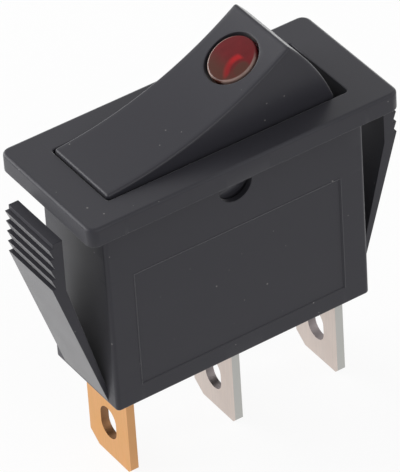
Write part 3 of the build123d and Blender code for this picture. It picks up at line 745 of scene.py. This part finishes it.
def noise(tree, vector, scale, detail=2.0):
    """Noise value on a vector."""
    made = tree.nodes.new("ShaderNodeTexNoise")
    feed(tree, made.inputs["Vector"], vector)
    feed(tree, made.inputs["Scale"], scale)
    made.inputs["Detail"].default_value = detail
    return made.outputs["Fac"]


def placed(tree, location=(0.0, 0.0, 0.0), turn=(0.0, 0.0, 0.0), size=(1.0, 1.0, 1.0)):
    """Object coordinates measured from a place, along turned and stretched axes."""
    place = tree.nodes.new("ShaderNodeTexCoord")
    mapping = tree.nodes.new("ShaderNodeMapping")
    mapping.vector_type = "TEXTURE"
    mapping.inputs["Location"].default_value = location
    mapping.inputs["Rotation"].default_value = turn
    mapping.inputs["Scale"].default_value = size
    tree.links.new(place.outputs["Object"], mapping.inputs["Vector"])
    return mapping.outputs["Vector"]


def parts_of(tree, vector):
    """X, Y and Z of a vector."""
    made = tree.nodes.new("ShaderNodeSeparateXYZ")
    tree.links.new(vector, made.inputs["Vector"])
    return made.outputs[0], made.outputs[1], made.outputs[2]


def distance_from(tree, u, w, centre_u, centre_w):
    """Distance of (u, w) from a point."""
    along, across = maths(tree, "SUBTRACT", u, centre_u), maths(tree, "SUBTRACT", w, centre_w)
    return maths(tree, "SQRT", maths(tree, "MULTIPLY_ADD", along, along, maths(tree, "MULTIPLY", across, across)))


def relief(tree, height, strength, distance):
    """Normal of a fine relief."""
    made = tree.nodes.new("ShaderNodeBump")
    feed(tree, made.inputs["Height"], height)
    feed(tree, made.inputs["Strength"], strength)
    made.inputs["Distance"].default_value = distance
    return made.outputs["Normal"]


def camera_like(tree):
    """Value that is 1 for camera, glossy and transmission rays."""
    path = tree.nodes.new("ShaderNodeLightPath").outputs
    direct = maths(tree, "MAXIMUM", path["Is Camera Ray"], path["Is Glossy Ray"])
    return maths(tree, "MAXIMUM", direct, path["Is Transmission Ray"])


def effect(name, inputs, outputs):
    """Empty shader group with named number inputs and outputs; returns its tree, its inputs and its end."""
    tree = bpy.data.node_groups.new(name, "ShaderNodeTree")
    for label, value in inputs.items():
        tree.interface.new_socket(label, in_out="INPUT", socket_type="NodeSocketFloat").default_value = value
    for label in outputs:
        kind = "NodeSocketVector" if label == "Normal" else "NodeSocketFloat"
        tree.interface.new_socket(label, in_out="OUTPUT", socket_type=kind)
    return tree, tree.nodes.new("NodeGroupInput").outputs, tree.nodes.new("NodeGroupOutput").inputs


def moulded_grain():
    """Shared effect of moulded plastic: fine grain, slow flow marks that change the gloss, and specks of dust."""
    tree, given, end = effect("Moulded grain", {"Grain depth": 0.3, "Flow marks": 0.1, "Dust": 0.5},
                              ("Normal", "Gloss change", "Specks"))
    place = placed(tree)
    grain = noise(tree, place, scale=9000.0)
    feed(tree, end["Normal"], relief(tree, grain, given["Grain depth"], 0.02 * MM))
    flow = noise(tree, placed(tree, size=(3.0, 1.0, 1.0)), scale=350.0, detail=3.0)
    feed(tree, end["Gloss change"], maths(tree, "MULTIPLY", maths(tree, "SUBTRACT", flow, 0.5), given["Flow marks"]))
    cells = tree.nodes.new("ShaderNodeTexVoronoi")
    cells.inputs["Scale"].default_value = 700.0
    tree.links.new(place, cells.inputs["Vector"])
    largest, rim = 0.11, 0.02
    size = maths(tree, "MULTIPLY", noise(tree, place, scale=300.0), largest)
    near = fade(tree, maths(tree, "SUBTRACT", size, cells.outputs["Distance"]), 0.0, rim)
    feed(tree, end["Specks"], maths(tree, "MULTIPLY", near, given["Dust"]))


def rolled_metal():
    """Shared effect of strip metal: streaks drawn out along Z, stamped edges and slow tarnish."""
    tree, given, end = effect("Rolled metal", {"Streak depth": 0.2},
                              ("Normal", "Streaks", "Stamped edge", "Tarnish"))
    streaks = noise(tree, placed(tree, size=(1.0, 1.0, 24.0)), scale=7000.0, detail=3.0)
    feed(tree, end["Normal"], relief(tree, streaks, given["Streak depth"], 0.01 * MM))
    feed(tree, end["Streaks"], fade(tree, streaks, 0.2, 0.8))
    coordinates = tree.nodes.new("ShaderNodeTexCoord")
    facing, _, _ = parts_of(tree, coordinates.outputs["Normal"])
    feed(tree, end["Stamped edge"], fade(tree, maths(tree, "ABSOLUTE", facing), 0.85, 0.5))
    tarnish = noise(tree, placed(tree, size=(1.0, 1.0, 1.6)), scale=420.0, detail=4.0)
    feed(tree, end["Tarnish"], fade(tree, tarnish, 0.4, 0.7))


def material_of(name, **values):
    """New procedural material; the values are set on its Principled shader's own sockets."""
    material = bpy.data.materials.new(name)
    material.use_nodes = True
    shader = material.node_tree.nodes["Principled BSDF"]
    for socket, value in values.items():
        shader.inputs[socket.replace("_", " ")].default_value = value
    return material, material.node_tree, shader.inputs


def with_effect(tree, name, **values):
    """Outputs of a shared effect with its own values."""
    made = tree.nodes.new("ShaderNodeGroup")
    made.node_tree = bpy.data.node_groups[name]
    for socket, value in values.items():
        made.inputs[socket.replace("_", " ")].default_value = value
    return made.outputs


def moulded_plastic(name, base, roughness, grain_depth, dust=0.5, sheen=0.0):
    """Moulded plastic: grain in the normal, uneven gloss, and pale dust mixed into the colour."""
    material, tree, shader = material_of(name, Specular_IOR_Level=0.25, Sheen_Weight=sheen, Sheen_Roughness=0.3)
    grain = with_effect(tree, "Moulded grain", Grain_depth=grain_depth, Dust=dust)
    feed(tree, shader["Normal"], grain["Normal"])
    feed(tree, shader["Roughness"], maths(tree, "ADD", grain["Gloss change"], roughness))
    dust_colour = (0.3, 0.29, 0.28)
    feed(tree, shader["Base Color"], blended(tree, grain["Specks"], tuple(base), dust_colour))
    return material


def strip_metal(name, base, streak_and_painted_glint, edge, roughness=0.34, punched=None):
    """Rolled and stamped metal: streaked faces, duller sheared edges and a slow tarnish.

    A blade's punched hole is given as its drop, half width, half length and the darker colour painted on its wall as
    the shade inside the hole.
    """
    material, tree, shader = material_of(name, Metallic=1.0)
    marks = with_effect(tree, "Rolled metal", Streak_depth=0.25)
    edge = tuple(edge)
    if punched:
        drop, half_width, half_length, hole_shade = punched
        # Painted shade: the hole's wall takes a darker colour that stands in for the shade inside the hole.
        _, across, rise = parts_of(tree, placed(tree, (0.0, 0.0, -drop), size=(half_width, half_width, half_length)))
        inside = maths(tree, "MULTIPLY", fade(tree, maths(tree, "ABSOLUTE", across), 1.2, 1.1),
                       fade(tree, maths(tree, "ABSOLUTE", rise), 1.2, 1.1))
        edge = blended(tree, inside, edge, tuple(hole_shade))
    face = blended(tree, marks["Streaks"], tuple(base), tuple(streak_and_painted_glint))
    worn = blended(tree, maths(tree, "MULTIPLY", marks["Tarnish"], 0.35), face, tuple(streak_and_painted_glint))
    feed(tree, shader["Base Color"], blended(tree, marks["Stamped edge"], worn, edge))
    dull = maths(tree, "MULTIPLY_ADD", marks["Stamped edge"], 0.14, roughness)
    feed(tree, shader["Roughness"], maths(tree, "MULTIPLY_ADD", marks["Tarnish"], 0.1, dull))
    feed(tree, shader["Normal"], marks["Normal"])
    return material


def jewel_plastic(colours, lens, centre, slope):
    """Red jewel: a painted glint, bright and bent low in the crown, that also glows by a weak emission, a browner side
    towards the pivot and a painted highlight on part of the shoulder.

    On axes u along the rocker and w across it, in millimetres, the painted glint is where the distance from a point
    beside the crown comes near the glint's bend radius, faded out at both ends. A deeper red lies inside it.
    """
    # The weak emission takes the painted glint's colour, a painted glow, as no lamp is lit behind the jewel.
    material, tree, shader = material_of("Jewel plastic", Roughness=0.07, Transmission_Weight=0.2, IOR=1.49,
                                         Specular_IOR_Level=0.15, Emission_Strength=0.12)
    # Painted glint: a bright red bent band where the crown catches the light, placed by a bend centre and radius.
    glint_bend_u, glint_bend_w, glint_bend_radius = -0.2, -1.75, 1.35
    u, w, _ = parts_of(tree, placed(tree, tuple(centre), (0.0, -slope, 0.0), (MM, MM, MM)))
    bend = distance_from(tree, u, w, glint_bend_u, glint_bend_w)
    off = maths(tree, "ABSOLUTE", maths(tree, "SUBTRACT", bend, glint_bend_radius))
    ends = maths(tree, "MULTIPLY", fade(tree, w, -1.35, -0.85), fade(tree, u, 0.8, 0.5))
    streak_and_painted_glint = maths(tree, "MULTIPLY", maths(tree, "MULTIPLY", fade(tree, off, 0.5, 0.06), ends),
                   maths(tree, "MULTIPLY_ADD", fade(tree, u, -0.9, 0.3), 0.5, 0.5))
    inside = maths(tree, "MULTIPLY", fade(tree, bend, 1.6, 1.3), fade(tree, bend, 0.7, 1.0))
    pool = maths(tree, "MULTIPLY", fade(tree, bend, 0.95, 0.6), fade(tree, w, -0.8, -1.3))
    brown = maths(tree, "MAXIMUM", fade(tree, u, 0.2, -1.6), pool)
    # Painted highlight: a pale rim on the shoulder, only on the sides where it catches the light.
    rim_highlight_foot = lens.radius / MM - 0.22
    shoulder = maths(tree, "MULTIPLY",
                     fade(tree, distance_from(tree, u, w, 0.0, 0.0), rim_highlight_foot, rim_highlight_foot + 0.12),
                     maths(tree, "MAXIMUM", fade(tree, w, -0.4, 0.6), fade(tree, w, -0.8, -1.25)))
    shoulder = maths(tree, "MULTIPLY", shoulder, fade(tree, u, 1.9, 0.9))
    body = blended(tree, noise(tree, placed(tree), scale=900.0, detail=3.0), tuple(colours.body),
                   tuple(colours.deep))
    body = blended(tree, brown, body, tuple(colours.brown))
    body = blended(tree, maths(tree, "MULTIPLY", inside, ends), body, tuple(colours.deep))
    body = blended(tree, maths(tree, "MULTIPLY", shoulder, 0.85), body, tuple(colours.shoulder))
    # The painted glint is laid over the colour, and again into the emission as a painted glow.
    feed(tree, shader["Base Color"], blended(tree, streak_and_painted_glint, body, tuple(colours.streak_and_painted_glint)))
    feed(tree, shader["Emission Color"], blended(tree, streak_and_painted_glint, (0.0, 0.0, 0.0), tuple(colours.streak_and_painted_glint)))
    return material


# Operators

class SWITCH_OT_housing(bpy.types.Operator):
    """Build the bezel, body and wings as one moulding."""

    bl_idname = "switch.housing"
    bl_label = "Housing"
    plate_width, plate_length = 0.92, 0.985     # shares of the floor's size that its flat grids take up
    buried = 0.2 * MM       # depth to which a rib or post reaches into the floor

    def execute(self, context):
        sizes, wing, finish = context.scene.switch_housing, context.scene.switch_wing, context.scene.switch_finish
        blade = context.scene.switch_blade
        patches = self.shell(sizes, blade) + self.wings(sizes, wing) + self.inside(sizes, blade)
        make_piece("housing_shell", patches, "housing",
                   moulded_plastic("Housing plastic", finish.plastic, roughness=0.42, grain_depth=0.3,
                                   sheen=finish.sheen),
                   "black_nylon", "housing")
        return {"FINISHED"}

    def shell(self, sizes, blade):
        """Cup from the inner floor up the hollow, over the bezel and down the body to its foot."""
        along, across = column_places(sizes, blade)
        hollow = (body_length_inside(sizes), sizes.body_width - 2 * sizes.side_wall, sizes.cavity_corner)
        levels = body_levels(sizes)
        top = sizes.bezel_thickness
        heights = [sizes.floor - sizes.body_depth, *levels[WINDOW_ROWS::-1]]
        loops = [rounded_loop(along, across, *hollow, z) for z in heights]
        loops += eased_loops(along, across, hollow, sizes.opening_edge, top, np.linspace(0, pi / 2, 5), out=1)
        loops.append(grown_loop(along, across, hollow, sizes.opening_edge + SUPPORT, top))
        bezel = (sizes.bezel_length, sizes.bezel_width, sizes.bezel_corner)
        loops.append(grown_loop(along, across, bezel, -sizes.bezel_edge - SUPPORT, top))
        loops += eased_loops(along, across, bezel, sizes.bezel_edge, top, np.linspace(pi / 2, 0, 7))
        loops += eased_loops(along, across, bezel, sizes.bezel_foot, 0.0, np.linspace(0, pi / 2, 4), up=1)
        body = (sizes.body_length, sizes.body_width, sizes.body_corner)
        outside = len(loops)
        loops.append(rounded_loop(along, across, *body, 0.0))
        loops += [self.with_field(sizes, rounded_loop(along, across, *body, z)) for z in levels]
        loops += eased_loops(along, across, body, sizes.body_foot, -sizes.body_depth,
                             np.linspace(0, pi / 2, 6)[1:], up=1)
        points = np.stack(loops)
        holes, windows = self.windows(sizes, along, across, points, outside)
        return [sheet(points, closed=True, holes=holes), *windows,
                *self.floor_plates(blade_slots(sizes, blade), along, across, points)]

    def windows(self, sizes, along, across, points, outside):
        """Holes in the shell's grid for the two windows, and the patches that fill them.

        The hollow's rows start at 1, and the same heights outside start after the row numbered outside.
        """
        first = nearest(along, -WINDOW_CELL * WINDOW_CELLS / 2)
        last = len(along) - 1 - (first + WINDOW_CELLS)
        back = len(along) + CORNER_POINTS + len(across) + CORNER_POINTS + last
        holes, patches = [], []
        for column, side in ((first, -1), (back, 1)):
            for row in (1, outside + 1):
                holes.append((row, row + WINDOW_ROWS, column, column + WINDOW_CELLS))
            outer = points[outside + 1:outside + 2 + WINDOW_ROWS, column:column + WINDOW_CELLS + 1]
            inner = points[1:2 + WINDOW_ROWS, column:column + WINDOW_CELLS + 1][::-1]
            if side > 0:
                outer, inner = outer[:, ::-1], inner[:, ::-1]
            patches.append(pivot_window(sizes, rim_of(outer), rim_of(inner), side))
        return holes, patches

    def with_field(self, sizes, loop):
        """Loop with the long faces sunk inside the field and a fine bead round all but its lower edge."""
        middle = (sizes.field_top + sizes.field_bottom) / 2
        beyond = np.maximum(np.abs(loop[:, 0]) - sizes.field_length / 2,
                            np.abs(loop[:, 2] + middle) - (sizes.field_bottom - sizes.field_top) / 2)
        lift = np.interp(beyond, *field_profile(sizes))
        under = -loop[:, 2] - sizes.field_bottom > beyond - SAME_PLACE
        lift = np.where(under, np.minimum(lift, 0.0), lift)
        flat = np.abs(np.abs(loop[:, 1]) - sizes.body_width / 2) < SAME_PLACE
        loop[:, 1] += np.where(flat, np.sign(loop[:, 1]) * lift, 0.0)
        return loop

    def floor_plates(self, slots, along, across, points):
        """Inner floor and underside, both with a slot for each blade, and the slots' walls."""
        place, slot, slot_width = slots
        low, high = nearest(across, -slot_width), nearest(across, slot_width)
        holes = [(low, high, nearest(along, x - slot), nearest(along, x + slot)) for x in (-place, 0.0, place)]
        patches, plates = [], []
        for loop in (points[-1], points[0]):
            x, y = np.meshgrid(along, across * self.plate_width)
            plate = np.stack([x, y, np.full(x.shape, loop[0, 2])], axis=-1)
            plate[low, :, 1], plate[high, :, 1] = across[low], across[high]
            inside = np.abs(loop[:, 0]).max() * self.plate_length
            plate[:, 0, 0], plate[:, -1, 0] = -inside, inside
            plates.append(plate)
            patches.append(sheet(plate, holes=holes))
            patches.append(rings([loop, self.square_rim(plate)]))
        for first_row, last_row, first, last in holes:
            window = np.s_[first_row:last_row + 1, first:last + 1]
            patches.append(rings([rim_of(plates[0][window]), rim_of(plates[1][window])]))
        return patches

    def square_rim(self, plate):
        """Plate's rim, each corner repeated for every point of the corner's arc."""
        pieces = []
        for side in (plate[0], plate[:, -1], plate[-1, ::-1], plate[::-1, 0]):
            pieces += [side, np.repeat(side[-1:], CORNER_POINTS, axis=0)]
        return np.concatenate(pieces)

    def wings(self, sizes, wing):
        """Saw-toothed wings, rooted at the body's foot."""
        valley = wing.reach - wing.tooth_depth
        inner = valley - wing.wall
        crest = -wing.top_gap - wing.lead_height
        outline = [(inner, -wing.top_gap), (valley, -wing.top_gap)]
        for number in range(wing.teeth):
            z = crest - number * wing.tooth_pitch
            outline += [(valley, z), (wing.reach, z)]
        end, foot = sizes.body_length / 2, -sizes.body_depth + wing.foot
        hidden, root = end - sizes.end_wall / 2, -sizes.body_depth + wing.root
        outline += [(end, foot), (hidden, foot), (hidden, root), (end, root), (inner, -wing.heel_drop)]
        right = prism(outline, -wing.width / 2, wing.width / 2, wing.edge)
        return [right, (right[0] * [-1.0, 1.0, 1.0], right[1])]

    def inside(self, sizes, blade):
        """Ribs that guide the blades, the bridge's stop and the pedestals under the outer blades' shelves."""
        buried = self.buried
        low = sizes.floor - sizes.body_depth - buried
        hollow = sizes.body_width / 2 - sizes.side_wall
        half, across = sizes.post_length / 2, sizes.post_width / 2
        bars = [bar(-sizes.post_place - half, -sizes.post_place + half, low, -sizes.post_drop, -across, across)]
        half = sizes.pedestal_length / 2
        for x in (sizes.pedestal_place, -sizes.pedestal_place):
            bars.append(bar(x - half, x + half, low, -sizes.pedestal_drop, -across, across))
        place, slot, _ = blade_slots(sizes, blade)
        near, far, high = hollow - sizes.guide_reach, hollow + buried / 2, low + buried + sizes.guide_height
        for x in (0.0, place, -place):
            for x_low in (x + slot, x - slot - sizes.guide_thickness):
                for y_low, y_high in ((near, far), (-far, -near)):
                    bars.append(bar(x_low, x_low + sizes.guide_thickness, low, high, y_low, y_high))
        return bars


class SWITCH_OT_rocker(bpy.types.Operator):
    """Build the rocker with its pins, plunger tube and lens hole."""

    bl_idname = "switch.rocker"
    bl_label = "Rocker"

    def execute(self, context):
        sizes, lens, finish = context.scene.switch_rocker, context.scene.switch_lens, context.scene.switch_finish
        half = sizes.width / 2
        outer, row, column = rocker_lid(sizes, lens, 0.0, 0.0, half, sizes.edge_radius)
        inner, _, _ = rocker_lid(sizes, lens, sizes.top_wall, sizes.end_wall, half - sizes.skirt_wall,
                                 sizes.inner_edge)
        hole = (row, row + LENS_CELLS, column, column + LENS_CELLS)
        window = np.s_[row:row + LENS_CELLS + 1, column:column + LENS_CELLS + 1]
        patches = [sheet(outer, holes=[hole]), sheet(inner, holes=[hole]),
                   rings([rim_of(outer), rim_of(inner)]),
                   lens_hole(sizes, lens, rim_of(outer[window]), rim_of(inner[window]))]
        patches += self.pins(sizes) + self.inside(sizes, lens)
        make_piece("rocker_shell", moved(patches, at_rest), "rocker",
                   moulded_plastic("Rocker plastic", finish.plastic, roughness=0.36, grain_depth=0.25,
                                   sheen=finish.sheen),
                   "rocker_black", "rocker")
        return {"FINISHED"}

    def pins(self, sizes, sides=64):
        """Pins on both skirts, each with a slanted lower half and an eased end."""
        turn = steps(0.0, 2 * pi, sides)
        radius, tip, ease = sizes.pin_radius, sizes.pin_reach, sizes.pin_ease
        root = sizes.width / 2 - sizes.skirt_wall / 2
        lead, bent = (tip - sizes.width / 2) / radius, ease * EASE_MIDDLE
        profile = [(0.0, root), (radius, root), (radius, tip - ease), (radius - bent, tip - bent),
                   (radius - ease, tip), (0.0, tip)]
        loops = []
        for across, y in profile:
            x, z = np.moveaxis(on_circle(across, turn), -1, 0)
            loops.append(np.stack([x, np.minimum(y, tip + lead * np.minimum(z, 0.0)), z], axis=-1))
        made, faces = rings(loops)
        return [(made, faces), (made * [1.0, -1.0, 1.0], faces)]

    def inside(self, sizes, lens):
        """Plunger tube with its tie, the ledges at both ends and the ring round the lens hole."""
        floor_z = sizes.middle_height - sizes.top_wall / 2
        skirt = sizes.width / 2 - sizes.skirt_wall / 2
        point, along, out = lens_place(sizes, lens)
        tube = revolved([(0.0, floor_z), (sizes.tube_radius, floor_z), (sizes.tube_radius, -sizes.tube_drop),
                         (sizes.bore_radius, -sizes.tube_drop), (sizes.bore_radius, sizes.bore_top),
                         (0.0, sizes.bore_top)])
        web = bar(-sizes.web / 2, sizes.web / 2, sizes.bore_top, floor_z, -skirt, skirt)
        near, far = sizes.ledge_place, sizes.reach - sizes.end_wall / 2
        low, high = sizes.ledge_height, sizes.ledge_height + sizes.ledge_thickness
        ledges = [bar(near, far, low, high, -skirt, skirt), bar(-near, -far, low, high, -skirt, skirt)]
        wide, hidden = lens.flange_radius + lens.collar, sizes.top_wall / 2
        collar = revolved([(lens.hole_radius, -hidden), (wide, -hidden), (wide, -lens.flange_depth),
                           (lens.hole_radius, -lens.flange_depth), (lens.hole_radius, -hidden)])
        return [tube, web, *ledges] + moved([collar], lambda points: on_lens(points, point, along, out))


class SWITCH_OT_lens(bpy.types.Operator):
    """Build the red jewel."""

    bl_idname = "switch.lens"
    bl_label = "Lens"

    def execute(self, context):
        sizes, lens = context.scene.switch_rocker, context.scene.switch_lens
        point, along, out = lens_place(sizes, lens)
        edge, inner, top = lens.shoulder, lens.radius - lens.shoulder, lens.shoulder_rise
        profile = [(0.0, -lens.well_depth), (lens.well_radius, -lens.well_depth),
                   (lens.well_radius, -lens.flange_depth - lens.flange_thickness),
                   (lens.flange_radius, -lens.flange_depth - lens.flange_thickness),
                   (lens.flange_radius, -lens.flange_depth), (lens.radius, -lens.flange_depth)]
        profile += on_circle(edge, np.radians(np.linspace(0, 84, 6)), (inner, top - edge)).tolist()
        crown = np.linspace(inner, 0.0, 24)
        profile += np.stack([crown, top + lens.dome * (1 - (crown / inner) ** 2)], axis=-1).tolist()
        jewel = revolved(profile)
        centre = at_rest(point)
        slope = atan2(along[2], along[0]) + rest_tilt
        make_piece("jewel", moved([jewel], lambda points: at_rest(on_lens(points, point, along, out))),
                   "rocker", jewel_plastic(context.scene.switch_finish, lens, centre, slope),
                   "red_lens", "lens")
        return {"FINISHED"}


class SWITCH_OT_blades(bpy.types.Operator):
    """Dress the three blades."""

    bl_idname = "switch.blades"
    bl_label = "Blades"

    def execute(self, context):
        finish, blade = context.scene.switch_finish, context.scene.switch_blade
        hole = (blade.hole_drop, blade.hole_width / 2, blade.hole_length / 2)
        # Each blade's hole wall gets a darker colour, painted as the shade inside the hole.
        plated = strip_metal("Plated strip", finish.plated, finish.plated_streak, finish.plated_edge,
                             punched=(*hole, finish.plated_hole_shade))
        bare = strip_metal("Bare brass strip", finish.brass, finish.brass_streak, finish.brass_edge,
                           punched=(*hole, finish.brass_hole_shade))
        for node, name, material, slot in (("common_terminal", "blade_middle", plated, "plated_blade"),
                                           ("load_terminal", "blade_load", plated, "plated_blade"),
                                           ("lamp_terminal", "blade_lamp", bare, "bare_blade")):
            eased_copy(node, name, "housing", material, slot, blade.edge)
        return {"FINISHED"}


class SWITCH_OT_mechanism(bpy.types.Operator):
    """Give the lamp, the springs, the plunger and the contacts inside their finishes."""

    bl_idname = "switch.mechanism"
    bl_label = "Mechanism"

    def execute(self, context):
        silver, worn_silver = (0.86, 0.85, 0.82), (0.7, 0.69, 0.66)
        steel = strip_metal("Spring steel", (0.6, 0.6, 0.62), (0.48, 0.48, 0.5), (0.55, 0.55, 0.57), roughness=0.28)
        glass, _, _ = material_of("Lamp glass", Base_Color=(0.95, 0.93, 0.9, 1.0), Roughness=0.04,
                                  Transmission_Weight=1.0, IOR=1.5)
        contact = strip_metal("Contact silver", silver, worn_silver, silver, roughness=0.3)
        finishes = {
            "lamp_bulb": glass,
            "plunger": moulded_plastic("Pale acetal", (0.78, 0.77, 0.73), roughness=0.34, grain_depth=0.15,
                                       dust=0.2),
            "contact_bridge": strip_metal("Contact brass", (0.8, 0.6, 0.32), (0.68, 0.48, 0.22), (0.6, 0.42, 0.2)),
            "moving_contact": contact,
            "fixed_contact": contact,
            "resistor_core": moulded_plastic("Resistor lacquer", (0.62, 0.5, 0.33), roughness=0.25,
                                             grain_depth=0.1, dust=0.1),
            "resistor_caps": strip_metal("Nickel", (0.66, 0.61, 0.55), (0.56, 0.52, 0.47), (0.62, 0.58, 0.52),
                                         roughness=0.26),
        }
        for name in ("lamp_electrode_front", "lamp_electrode_rear", "lamp_lead_to_load", "lamp_lead_to_resistor",
                     "resistor_lead", "plunger_spring", "load_lamp_spring", "neutral_lamp_spring"):
            finishes[name] = steel
        for name, material in finishes.items():
            mesh = frame["nodes"][name].data
            mesh.materials.clear()
            mesh.materials.append(material)
        return {"FINISHED"}


class SWITCH_OT_springs(bpy.types.Operator):
    """Build the two springs at their rest length; in the switch the rocker and the plunger press them shorter."""

    bl_idname = "switch.springs"
    bl_label = "Springs"

    def execute(self, context):
        self.lamp_spring(context.scene.switch_spring)
        self.plunger_spring(context.scene.switch_spring, context.scene.switch_rocker.bore_top)
        return {"FINISHED"}

    def lamp_spring(self, sizes):
        """Spring under the lead's hook, which swings down about the pivot as the rocker tilts."""
        low, high = (np.array(corner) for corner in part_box("load_lamp_spring"))
        x, y, _ = (low + high) / 2
        patch = coil(sizes.lamp_radius, sizes.lamp_wire, low[2], high[2], sizes.lamp_turns)
        piece = make_piece("load_lamp_coil", moved([patch], lambda points: points + [x, y, 0.0]), "housing",
                           bpy.data.materials["Spring steel"], "spring_steel", "load_lamp_spring")
        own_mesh(piece)

    def plunger_spring(self, sizes, bore_top):
        """Spring between the rocker's bore and the plunger's well."""
        low, high = sizes.end_gap - sizes.well_drop, bore_top - sizes.end_gap
        patch = coil(sizes.plunger_radius, sizes.plunger_wire, low, high, sizes.plunger_turns)
        piece = make_piece("plunger_coil", moved([patch], at_rest), "rocker", bpy.data.materials["Spring steel"],
                           "spring_steel", "plunger_spring")
        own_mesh(piece)


class SWITCH_OT_stage(bpy.types.Operator):
    """Set up the floor, the lights, the world and the camera."""

    bl_idname = "switch.stage"
    bl_label = "Stage"

    def execute(self, context):
        stage = context.scene.switch_stage
        self.floor(stage)
        self.lights()
        self.world(context, stage)
        self.camera(context, stage)
        context.scene.view_settings.view_transform = "Standard"
        return {"FINISHED"}

    def floor(self, stage):
        """Pale floor under the blades, which glows for the camera and still takes the shadow."""
        half = stage.floor_size / 2
        mesh = bpy.data.meshes.new("floor")
        mesh.from_pydata([(x, y, blade_tips) for x, y in ((-half, -half), (half, -half), (half, half), (-half, half))],
                         [], [(0, 1, 2, 3)])
        in_scene(bpy.data.objects.new("floor", mesh))
        material, tree, _ = material_of("Floor", Base_Color=(0.85, 0.85, 0.85, 1.0), Roughness=0.9)
        glow = tree.nodes.new("ShaderNodeEmission")
        mix = tree.nodes.new("ShaderNodeMixShader")
        feed(tree, mix.inputs["Fac"], maths(tree, "MULTIPLY", camera_like(tree), 0.9))
        tree.links.new(tree.nodes["Principled BSDF"].outputs["BSDF"], mix.inputs[1])
        tree.links.new(glow.outputs["Emission"], mix.inputs[2])
        tree.links.new(mix.outputs["Shader"], tree.nodes["Material Output"].inputs["Surface"])
        mesh.materials.append(material)

    def lights(self):
        """Rectangular lamps that face the switch, each with its place, width, height and brightness.

        A lamp's power is its brightness times pi times its area.
        """
        target = Vector((0.0, 0.0, -5 * MM))
        for name, place, width, height, level in (
                ("back_right_box", (0.30, 0.26, 0.05), 0.1, 0.16, 5.0),
                ("back_left_box", (-0.24, 0.26, 0.10), 0.5, 0.24, 5.0),
                ("front_right_box", (0.33, -0.16, 0.22), 0.12, 0.12, 5.0),
                ("front_box", (0.0, -0.42, 0.2), 0.3, 0.2, 2.5),
                ("top_box", (-0.1, -0.15, 0.4), 0.25, 0.25, 0.4)):
            data = bpy.data.lights.new(name, "AREA")
            data.shape = "RECTANGLE"
            data.size, data.size_y = width, height
            data.energy = level * pi * width * height
            light = in_scene(bpy.data.objects.new(name, data))
            light.location = place
            light.rotation_euler = (Vector(place) - target).to_track_quat("Z", "Y").to_euler()

    def world(self, context, stage):
        """White background over a plain level of light on the object."""
        world = bpy.data.worlds.new("Studio")
        context.scene.world = world
        world.use_nodes = True
        tree = world.node_tree
        level = tree.nodes.new("ShaderNodeMapRange")
        level.inputs["To Min"].default_value = stage.world_level
        level.inputs["To Max"].default_value = 1.0
        tree.links.new(camera_like(tree), level.inputs["Value"])
        background = tree.nodes["Background"].inputs
        background["Color"].default_value = (1.0, 1.0, 1.0, 1.0)
        tree.links.new(level.outputs["Result"], background["Strength"])

    def camera(self, context, stage):
        """Camera that looks at the bezel's top from its azimuth and elevation, rolled and shifted."""
        turn, lift = stage.azimuth, stage.elevation
        back = Vector((sin(turn) * cos(lift), -cos(turn) * cos(lift), sin(lift)))
        right = Vector((0.0, 0.0, 1.0)).cross(back).normalized()
        up = back.cross(right)
        rolled_right = cos(stage.roll) * right + sin(stage.roll) * up
        rolled_up = cos(stage.roll) * up - sin(stage.roll) * right
        data = bpy.data.cameras.new("camera")
        data.sensor_width = 36.0
        data.lens = stage.focal
        data.clip_start = 0.01
        data.clip_end = 10.0
        camera = in_scene(bpy.data.objects.new("camera", data))
        place = rolled_right * stage.shift_right - rolled_up * stage.shift_down + back * stage.distance
        place.z += context.scene.switch_housing.bezel_thickness
        turned_axes = Matrix((rolled_right, rolled_up, back)).transposed().to_4x4()
        camera.matrix_world = Matrix.Translation(place) @ turned_axes
        context.scene.camera = camera


# Panel and registration

class SWITCH_PT_panel(bpy.types.Panel):
    """Sizes and buttons in the 3D view's sidebar."""

    bl_idname = "SWITCH_PT_panel"
    bl_label = "Rocker switch"
    bl_space_type = "VIEW_3D"
    bl_region_type = "UI"
    bl_category = "Rocker switch"

    def draw(self, context):
        for title, groups, operator in GROUPS:
            box = self.layout.box()
            box.label(text=title)
            for group in [getattr(context.scene, name) for name in groups]:
                for name in group.__annotations__:
                    box.prop(group, name)
            box.operator(operator)


GROUPS = (
    ("Housing", ("switch_housing", "switch_wing"), "switch.housing"),
    ("Rocker", ("switch_rocker",), "switch.rocker"),
    ("Lens", ("switch_lens",), "switch.lens"),
    ("Blades", ("switch_blade",), "switch.blades"),
    ("Mechanism", ("switch_finish",), "switch.mechanism"),
    ("Springs", ("switch_spring",), "switch.springs"),
    ("Stage", ("switch_stage",), "switch.stage"),
)
PROPERTIES = {"switch_housing": HousingSizes, "switch_wing": WingSizes, "switch_rocker": RockerSizes,
              "switch_lens": LensSizes, "switch_blade": BladeSizes, "switch_spring": SpringSizes,
              "switch_finish": FinishColours, "switch_stage": StageSizes}
CLASSES = (*PROPERTIES.values(), SWITCH_OT_housing, SWITCH_OT_rocker, SWITCH_OT_lens, SWITCH_OT_blades,
           SWITCH_OT_mechanism, SWITCH_OT_springs, SWITCH_OT_stage, SWITCH_PT_panel)


def register():
    """Add the operators, the panel and the sizes."""
    for item in CLASSES:
        bpy.utils.register_class(item)
    for name, kind in PROPERTIES.items():
        setattr(bpy.types.Scene, name, PointerProperty(type=kind))


def unregister():
    """Take them away again."""
    for name in PROPERTIES:
        delattr(bpy.types.Scene, name)
    for item in reversed(CLASSES):
        bpy.utils.unregister_class(item)


def main():
    """Build the whole scene."""
    register()
    bpy.context.scene.unit_settings.length_unit = "MILLIMETERS"
    moulded_grain()
    rolled_metal()
    bpy.ops.switch.housing()
    bpy.ops.switch.rocker()
    bpy.ops.switch.lens()
    bpy.ops.switch.blades()
    bpy.ops.switch.mechanism()
    bpy.ops.switch.springs()
    bpy.ops.switch.stage()


if __name__ == "__main__":
    main()
